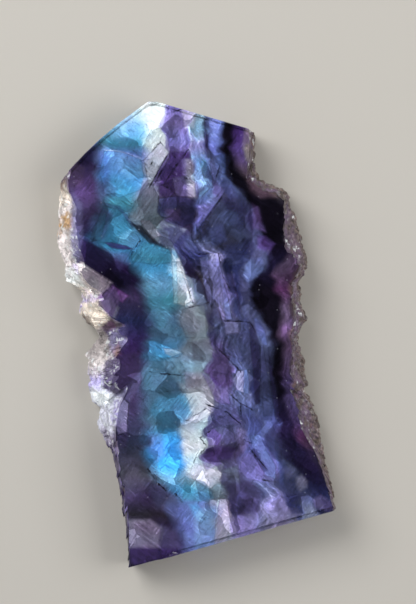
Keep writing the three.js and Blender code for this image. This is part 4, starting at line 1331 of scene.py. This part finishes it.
def addCracks(light, dark):  # the light cracks as a colour, and the dark ones as a seam
    def make(colour, seam, place):
        soft = face["crackSoftness"]
        strong, strongest = face["crackStrength"]
        colour = colour.mixed(tint("ice"), nearestLine(place, light).step(soft, -soft, 0.0, strong))
        line = nearestLine(place, dark).step(soft, -soft, 0.0, strongest)
        return colour, seam.vector("MAXIMUM", seam, line)
    return make


def turnedBy(place, angle, stretch):  # the place turned about Z by an angle, then scaled
    inputs = {"Vector": place, "Angle": math.radians(angle)}
    turned = place.add("VectorRotate", {"rotation_type": "Z_AXIS"}, inputs)
    return turned.vector("MULTIPLY", turned, stretch)


def flattened(place, back):  # the place moved back left and down, with 1 for Z, as lines and patches want it
    return place.add("CombineXYZ", {}, {"X": place.x - back, "Y": place.y - back, "Z": 1.0})


def flatNoise(place, scale, detail, output=0):
    return place.noise(scale, detail, output, noise_dimensions="2D")


def crystalGrain(place):  # slow and fine noise, the place turned to the cleavage, and its blocks' colours
    drift = flatNoise(place, face["drift"][0], 1.0, 1)
    ripple = flatNoise(place, face["ripple"][0], 2.0, 1)
    cleavage = turnedBy(place.moved(drift, face["bend"]), face["cleavage"], (1, 1, 1))
    block = cleavage.cells(face["blocks"][0], 1, distance="CHEBYCHEV", voronoi_dimensions="2D")
    return drift, ripple, cleavage, block


def zonedColour(place, drift, ripple, block):  # bands moved by noise and blocks, a zigzag, and growth layers
    moves = face["drift"][1], face["blocks"][1], face["ripple"][1]
    moved = place
    for by, far in zip((drift, block, ripple), moves):
        moved = moved.moved(by, far)
    back = -sum(moves) / 2
    moved = moved.vector("ADD", moved, (back, back, 0))
    y = moved.y
    stroke, across, wander = face["zigzag"]
    zigzag = (y + drift.dot((0, wander, 0))).math("PINGPONG", y + drift.dot((0, wander, 0)), stroke)
    zigzag = (zigzag / stroke - 0.5) * across
    colour, count = bandColour(moved.x + zigzag, y)
    banded = count.step(*face["layered"])
    perBand, perHeight, strength = face["layers"]
    layers = place.add("CombineXYZ", {}, {"X": count * perBand, "Y": y * perHeight})
    perBand, byDrift, byBlock, stepped = face["steps"]
    risen = count * perBand + drift.dot((byDrift, 0, 0)) + block.dot((byBlock, 0, 0))
    rise = risen.math("FRACT", risen)
    depth = (flatNoise(layers, 1.0, 2.0) - 0.5) * strength + (rise - 0.5) * stepped
    return colour.shaded(depth * banded * count.step(*face["plain"])), banded


def paintFeatures(colour, place, drift, ripple):  # the listed patches and cracks, moved a little by noise
    bend, rippled = face["featureBend"]
    near = flattened(place.moved(drift, bend).moved(ripple, rippled), (bend + rippled) / 2)
    seam = near.vector("MULTIPLY", near, (0, 0, 0))
    chosen = [*patches.values(), *rimPatches.values()]
    for n in range(0, len(chosen), face["featureGroup"]):
        some = addPatches(chosen[n:n + face["featureGroup"]])
        colour, seam = grouped(f"patches{n}", some, colour=colour, seam=seam, place=near)
    light = [crack for crack in cracks if crack[0] in face["lightCracks"]]
    dark = [crack for crack in cracks if crack[0] not in face["lightCracks"]]
    scale, far = face["crackWander"]
    rugged = near.moved(flatNoise(place, scale, 2.0, 1), far)
    rugged = rugged.vector("ADD", rugged, (-far / 2, -far / 2, 0))
    colour, seam = grouped("cracks", addCracks(light, dark), colour=colour, seam=seam, place=rugged)
    scale, *strengths = face["whole"]
    whole = flatNoise(place, scale, 2.0).step(*strengths)
    return colour.mixed(tint("night"), seam.dot((1, 1, 1)).least(1.0) * whole)


def cleavageLight(place, drift, cleavage, block, banded):  # painted shading of tilted blocks, and the lightness of flakes and streaks
    # painted shading: across each cleavage block the colour grows lighter towards one side, as a tilted plane
    # would in the light
    slope = block.vector("SUBTRACT", cleavage, block.beside("Position"))
    slope = slope.dot(block.vector("SUBTRACT", block, (0.5, 0.5, 0.5)))
    depth = slope * face["slopes"] + block.fromMiddle() * (face["unbanded"] - banded) * face["blockSteps"]
    scale, strength = face["flakes"]
    flakePlace = turnedBy(place.moved(drift, face["bend"]), face["flakeTurn"], face["flakeStretch"])
    flake = flakePlace.cells(scale, 1, distance="CHEBYCHEV", voronoi_dimensions="2D")
    scale, none, full = face["flaky"]
    flaky = flatNoise(place, scale, 1.0).step(none, full)
    depth = depth + flake.fromMiddle() * flaky * strength
    scale, start, end = face["streakChoice"]
    choice = flatNoise(place, scale, 0.0).step(start, end)
    first, second = [flatNoise(turnedBy(place, angle, stretch), 1.0, 2.0) for angle, stretch in zip(
        face["streakTurns"], face["streakStretch"])]
    streak = first * choice + second * (1 - choice)
    depth = depth - streak.step(*face["darkStreaks"], 0, face["streaks"])
    depth = depth + streak.step(*face["lightStreaks"], 0, face["streaks"])
    off = streak - 0.5
    return depth, off.math("ABSOLUTE", off).step(*face["hairWidth"])


def mottled(colour, place, ripple, depth, hair):  # grain, clouds, hairs, slow shifts of hue, edges and specks
    scale, strength = face["grain"]
    depth = depth + (flatNoise(place, scale, 4.0) - 0.5) * strength
    scale, strength = face["clouds"]
    cloud = flatNoise(place, scale, 2.0)
    depth = depth + (cloud - 0.5) * strength
    scale, none, full = face["hairy"]
    depth = depth - hair * flatNoise(place, scale, 1.0).step(none, full) * face["hairs"]
    colour = colour.shaded(depth)
    scale, *stops = face["hues"]
    colour = colour.mixed(flatNoise(place, scale, 1.0).ramp(stops), 1.0, "MULTIPLY")
    edges = turnedBy(place.moved(ripple, face["edgeBend"]), face["cleavage"], face["edges"])
    edge = edges.cells(1.0, 0, feature="DISTANCE_TO_EDGE", voronoi_dimensions="2D")
    edge = edge.step(*face["edgeWidth"]) * cloud.step(*face["edged"])
    colour = colour.mixed(tint("night"), edge * face["edgeStrength"])
    scale, strength = face["specks"]
    speck = place.cells(scale, 0, voronoi_dimensions="2D")
    lit = speck.step(*face["speckSize"]) * speck.beside("Color").x.step(*face["lit"])
    return colour.mixed(tint("mist"), lit * strength)


def feedClear(shader, colour, roughness):  # a see-through surface of the crystal
    feed(shader, {"Base Color": colour, "Roughness": roughness})
    feed(shader, {"Transmission Weight": crystal["transmission"], "IOR": crystal["ior"]})


def fluorite():  # the face's features near the polished face, bands alone below, and a tint by depth of stone
    material, shader, place = newFinish("fluorite")
    z = place.z
    scale, far = face["sway"]
    sway = (place.noise(scale, 1.0) - 0.5) * far - face["lean"]
    across = place.add("CombineXYZ", {}, {"X": (slab["thickness"] - z) * sway})
    place = place.vector("ADD", place, across)
    drift, ripple, cleavage, block = crystalGrain(place)
    zoned, banded = zonedColour(place, drift, ripple, block)
    colour = paintFeatures(zoned, place, drift, ripple)
    depth, hair = cleavageLight(place, drift, cleavage, block, banded)
    colour = mottled(colour, place, ripple, depth, hair)
    chipped = place.add("Attribute", {"attribute_name": "chipped"}, {}, 2)
    feedClear(shader, colour, chipped.step(*crystal["chipEdge"], crystal["polish"], crystal["chipped"]))
    tree = material.node_tree
    sawn = tree.nodes.new("ShaderNodeBsdfPrincipled")
    feedClear(sawn, zoned, crystal["sawn"])
    polished = z.step(*[slab["thickness"] - below for below in crystal["polished"]])
    polished = polished.math("MAXIMUM", polished, chipped.step(*crystal["chipFeatures"]))
    both = polished.add("MixShader", {}, {0: polished, 1: Wire(sawn.outputs[0]), 2: Wire(shader.outputs[0])})
    inside = tree.nodes.new("ShaderNodeVolumeAbsorption")
    feed(inside, {"Color": crystal["through"], "Density": crystal["density"]})
    feed(tree.nodes["Material Output"], {"Surface": both, "Volume": Wire(inside.outputs["Volume"])})
    return material


rind = {  # of the crust's finish; heights are above the back face, in millimetres
    "wander": (0.35, 9),  # slow noise: its scale, and how far it moves the left edge's colours up and down
    "leftTints": [  # colour, heights and noise values between which it comes in, and strength
        ("heather", (10.5, 13.5), (0.4, 0.6), 0.55), ("violet", (12.5, 14.0), (0.6, 0.4), 0.8),
    ],
    "rightTints": [("plum", (4, 12), (0.3, 0.55), 0.85)],
    "rightRim": ("coal", (12.5, 14), 0.6),
    "rightColours": [(0.3, "coal"), (0.45, "umber"), (0.58, "taupe"), (0.78, "ash")],  # by value of the grain
    "right": (3, 6),  # in x, where the left edge's finish gives way to the right one's
    "bend": (1.1, 1.2, 0.5),  # noise: its scale, and how far it moves the patches and the cells
    "grain": (1.3, 0.5),  # scale and strength
    "lumps": (0.4, 0.42),
    "crystals": (1.2, 0.16),
    "calm": 0.6,  # how much weaker these are on the right
    "slow": (1.1, 0.3),  # strength of slow noise: what the right has more, and everywhere
    "lift": 0.06,
    "cracks": (0.6, 0.6),  # scale and strength, width, and values of slow noise between which they come in
    "crackWidth": (0.06, 0.0),
    "cracked": (0.42, 0.55),
    "frost": 0.55,  # strength of the painted sparkles, white crystals that stand in for glints of light off the facets, which of the crystals' shares, and from which y up
    "sparkleCells": (0.88, 0.92),
    "sparklesAbove": (-36, -28),
    "weaker": 0.4,  # what these and the cracks lose of their strength on the right
    "glints": 0.7,  # strength, which of the crystals' shares, and values of slow noise
    "glinting": (0.95, 0.97),
    "glintsWhere": (0.5, 0.56),
    "stain": (0.35, 0.45),  # of rust in the hollows: scale and strength, depth, and values of noise
    "stainDepth": (0.3, 1.4),
    "stained": (0.5, 0.62),
    "shade": 0.5,  # of the deepest hollows: strength and depth
    "shadeDepth": (2.0, 4.0),
    "bumps": (3.0, 0.6, 0.0005),  # scale of the finest grain, and the bumps' strength and depth in metres
    "roughness": 0.3,
}


def crustFinish():  # an opaque finish for each side, shaded by crystals, lumps, grain, cracks and hollows, with painted sparkles and glints
    material, shader, place = newFinish("crust")
    y, z = place.y, place.z
    scale, far = rind["wander"]
    wander = place.noise(scale, 3.0)
    left = heightShare(y + wander * far - far / 2).ramp(tintStops(crust["colours"]))
    for name, heights, values, strength in rind["leftTints"]:
        left = left.mixed(tint(name), z.step(*heights) * wander.step(*values) * strength)
    scale, bend, twist = rind["bend"]
    warp = place.noise(scale, 2.0, 1)
    near = flattened(place.moved(warp, bend), bend / 2)
    seam = near.vector("MULTIPLY", near, (0, 0, 0))
    left, seam = grouped("rimPatches", addPatches([*rimPatches.values()]), colour=left, seam=seam, place=near)

    scale, grainStrength = rind["grain"]
    grain = place.noise(scale, 5.0)
    right = grain.ramp([(at, tint(name)) for at, name in rind["rightColours"]])
    for name, heights, values, strength in rind["rightTints"]:
        right = right.mixed(tint(name), z.step(*heights) * wander.step(*values) * strength)
    name, heights, strength = rind["rightRim"]
    right = right.mixed(tint(name), z.step(*heights) * strength)
    onRight = place.x.step(*rind["right"])
    colour = left.mixed(right, onRight)

    warped = place.moved(warp, twist, twist)
    lump = warped.cells(rind["lumps"][0], 1, distance="CHEBYCHEV")
    crystals = warped.cells(rind["crystals"][0], 1, distance="CHEBYCHEV")
    depth = (lump.x - 0.5) * rind["lumps"][1] + (crystals.x - 0.5) * rind["crystals"][1]
    depth = (depth + (grain - 0.5) * grainStrength) * (1 - onRight * rind["calm"])
    onlyRight, everywhere = rind["slow"]
    depth = depth + (wander - 0.5) * (onRight * onlyRight + everywhere) + rind["lift"]
    colour = colour.shaded(depth)
    scale, strength = rind["cracks"]
    crack = warped.cells(scale, 0, feature="DISTANCE_TO_EDGE").step(*rind["crackWidth"])
    crack = crack * wander.step(*rind["cracked"])
    colour = colour.mixed(tint("coal"), crack * (strength - onRight * rind["weaker"]))
    # painted highlights: a few crystals above a height on the slab turn white, as sparkles of light off their
    # facets
    sparkleCells = crystals.y.step(*rind["sparkleCells"]) * y.step(*rind["sparklesAbove"])
    colour = colour.mixed(tint("frost"), sparkleCells * (rind["frost"] - onRight * rind["weaker"]))
    glint = crystals.y.step(*rind["glinting"]) * wander.step(*rind["glintsWhere"]) * onRight
    colour = colour.mixed(tint("frost"), glint * rind["glints"])
    hollow = place.add("Attribute", {"attribute_name": "hollow"}, {}, 2)
    scale, strength = rind["stain"]
    stained = hollow.step(*rind["stainDepth"]) * place.noise(scale, 2.0).step(*rind["stained"])
    colour = colour.mixed(tint("rust"), stained * strength)
    colour = colour.mixed(tint("umber"), hollow.step(*rind["shadeDepth"]) * rind["shade"])
    scale, strength, deep = rind["bumps"]
    height = crystals.dot((0.5, 0, 0)) + place.noise(scale, 2.0) * 0.5
    bump = place.add("Bump", {}, {"Strength": strength, "Distance": deep, "Height": height})
    feed(shader, {"Base Color": colour, "Normal": bump})
    feed(shader, {"Roughness": rind["roughness"], "IOR": crystal["ior"]})
    return material


buildSlab(*surface, [fluorite(), crustFinish()])
print("finishes made")


studio = {
    "viewCentre": (3.5, 8.9),  # of the camera's view, on the slab's polished face, in millimetres
    "viewHeight": 163.1,
    "cameraDistance": 650.0,
    "nearest": 0.01,  # that the camera sees, in metres
    "floorHalf": 1.5,  # half a side of the floor, in metres, and how far it lies under the slab
    "floorBelow": 0.00005,
    "floorColour": (0.53, 0.505, 0.46, 1),
    "floorRoughness": 0.9,
    "lamps": [  # name, place and side in metres, and watts
        ("key", (-0.42, 0.4, 0.6), 0.5, 5.2), ("fill", (0.55, 0.05, 0.55), 0.5, 2.6),
    ],
    "air": (0.97, 0.98, 1, 1),
    "ceiling": 0.03,  # brightness straight above, and of the walls around
    "walls": 0.5,
    "cornice": (0.6, 0.96),  # upward shares of the view direction between which walls pass into ceiling
    "lightPanel": 1.1,  # brightness of the panel that the slab lies on
    "panelInset": 0.15,  # how far it stops inside the slab's rim, and lies under the slab, in millimetres
    "panelBelow": 0.03,
    "panelCorners": 400,
}


def lampAt(name, place, side, power):  # a square lamp that faces the slab
    lamp = bpy.data.lights.new(name, "AREA")
    lamp.size = side
    lamp.energy = power
    light = bpy.data.objects.new(name, lamp)
    light.location = place
    light.rotation_euler = (-Vector(place)).to_track_quat("-Z", "Y").to_euler()
    bpy.context.scene.collection.objects.link(light)


def stagePiece(name, points):  # a flat piece of the stage, just under the slab; it returns the shader
    mesh = bpy.data.meshes.new(name)
    mesh.from_pydata(points, [], [tuple(range(len(points)))])
    piece = bpy.data.objects.new(name, mesh)
    bpy.context.scene.collection.objects.link(piece)
    material = bpy.data.materials.new(name)
    material.use_nodes = True
    mesh.materials.append(material)
    return material.node_tree.nodes["Principled BSDF"]


def buildRoom(scene):  # light from all round, eased from the walls' brightness to the ceiling's
    world = bpy.data.worlds.new("studio")
    scene.world = world
    world.use_nodes = True
    sky = Wire(world.node_tree.nodes.new("ShaderNodeTexCoord").outputs["Generated"]).z
    glow = sky.step(*studio["cornice"], studio["walls"], studio["ceiling"])
    feed(world.node_tree.nodes["Background"], {"Strength": glow, "Color": studio["air"]})


def buildStage():  # a square floor, and a panel with the outline of the slab's back
    half, below = studio["floorHalf"], studio["floorBelow"]
    corners = [(-half, -half), (half, -half), (half, half), (-half, half)]
    floor = stagePiece("floor", [(x, y, -below) for x, y in corners])
    feed(floor, {"Base Color": studio["floorColour"], "Roughness": studio["floorRoughness"]})
    angles = np.linspace(0, wholeTurn, studio["panelCorners"], endpoint=False)
    reach = np.interp(angles, rim[0], rim[2][-1], period=wholeTurn) - studio["panelInset"]
    x = slab["axis"][0] + shift[0] + reach * np.cos(angles)
    y = slab["axis"][1] + shift[1] + reach * np.sin(angles)
    panel = stagePiece("lightPanel", np.column_stack([x, y, np.full(len(x), -studio["panelBelow"])]) / 1000)
    feed(panel, {"Emission Color": (1, 1, 1, 1), "Emission Strength": studio["lightPanel"]})


def cameraAbove(scene):  # straight above the slab, with a lens that fits the view's height from there
    lens = bpy.data.cameras.new("camera")
    lens.lens = lens.sensor_width * studio["cameraDistance"] / studio["viewHeight"]
    lens.clip_start = studio["nearest"]
    camera = bpy.data.objects.new("camera", lens)
    x, y = studio["viewCentre"] + shift[:2]
    camera.location = Vector((x, y, slab["thickness"] + studio["cameraDistance"])) / 1000
    scene.collection.objects.link(camera)
    scene.camera = camera


bpy.context.scene.view_settings.view_transform = "Standard"
buildRoom(bpy.context.scene)
buildStage()
for lamp in studio["lamps"]:
    lampAt(*lamp)
cameraAbove(bpy.context.scene)
print("studio set")
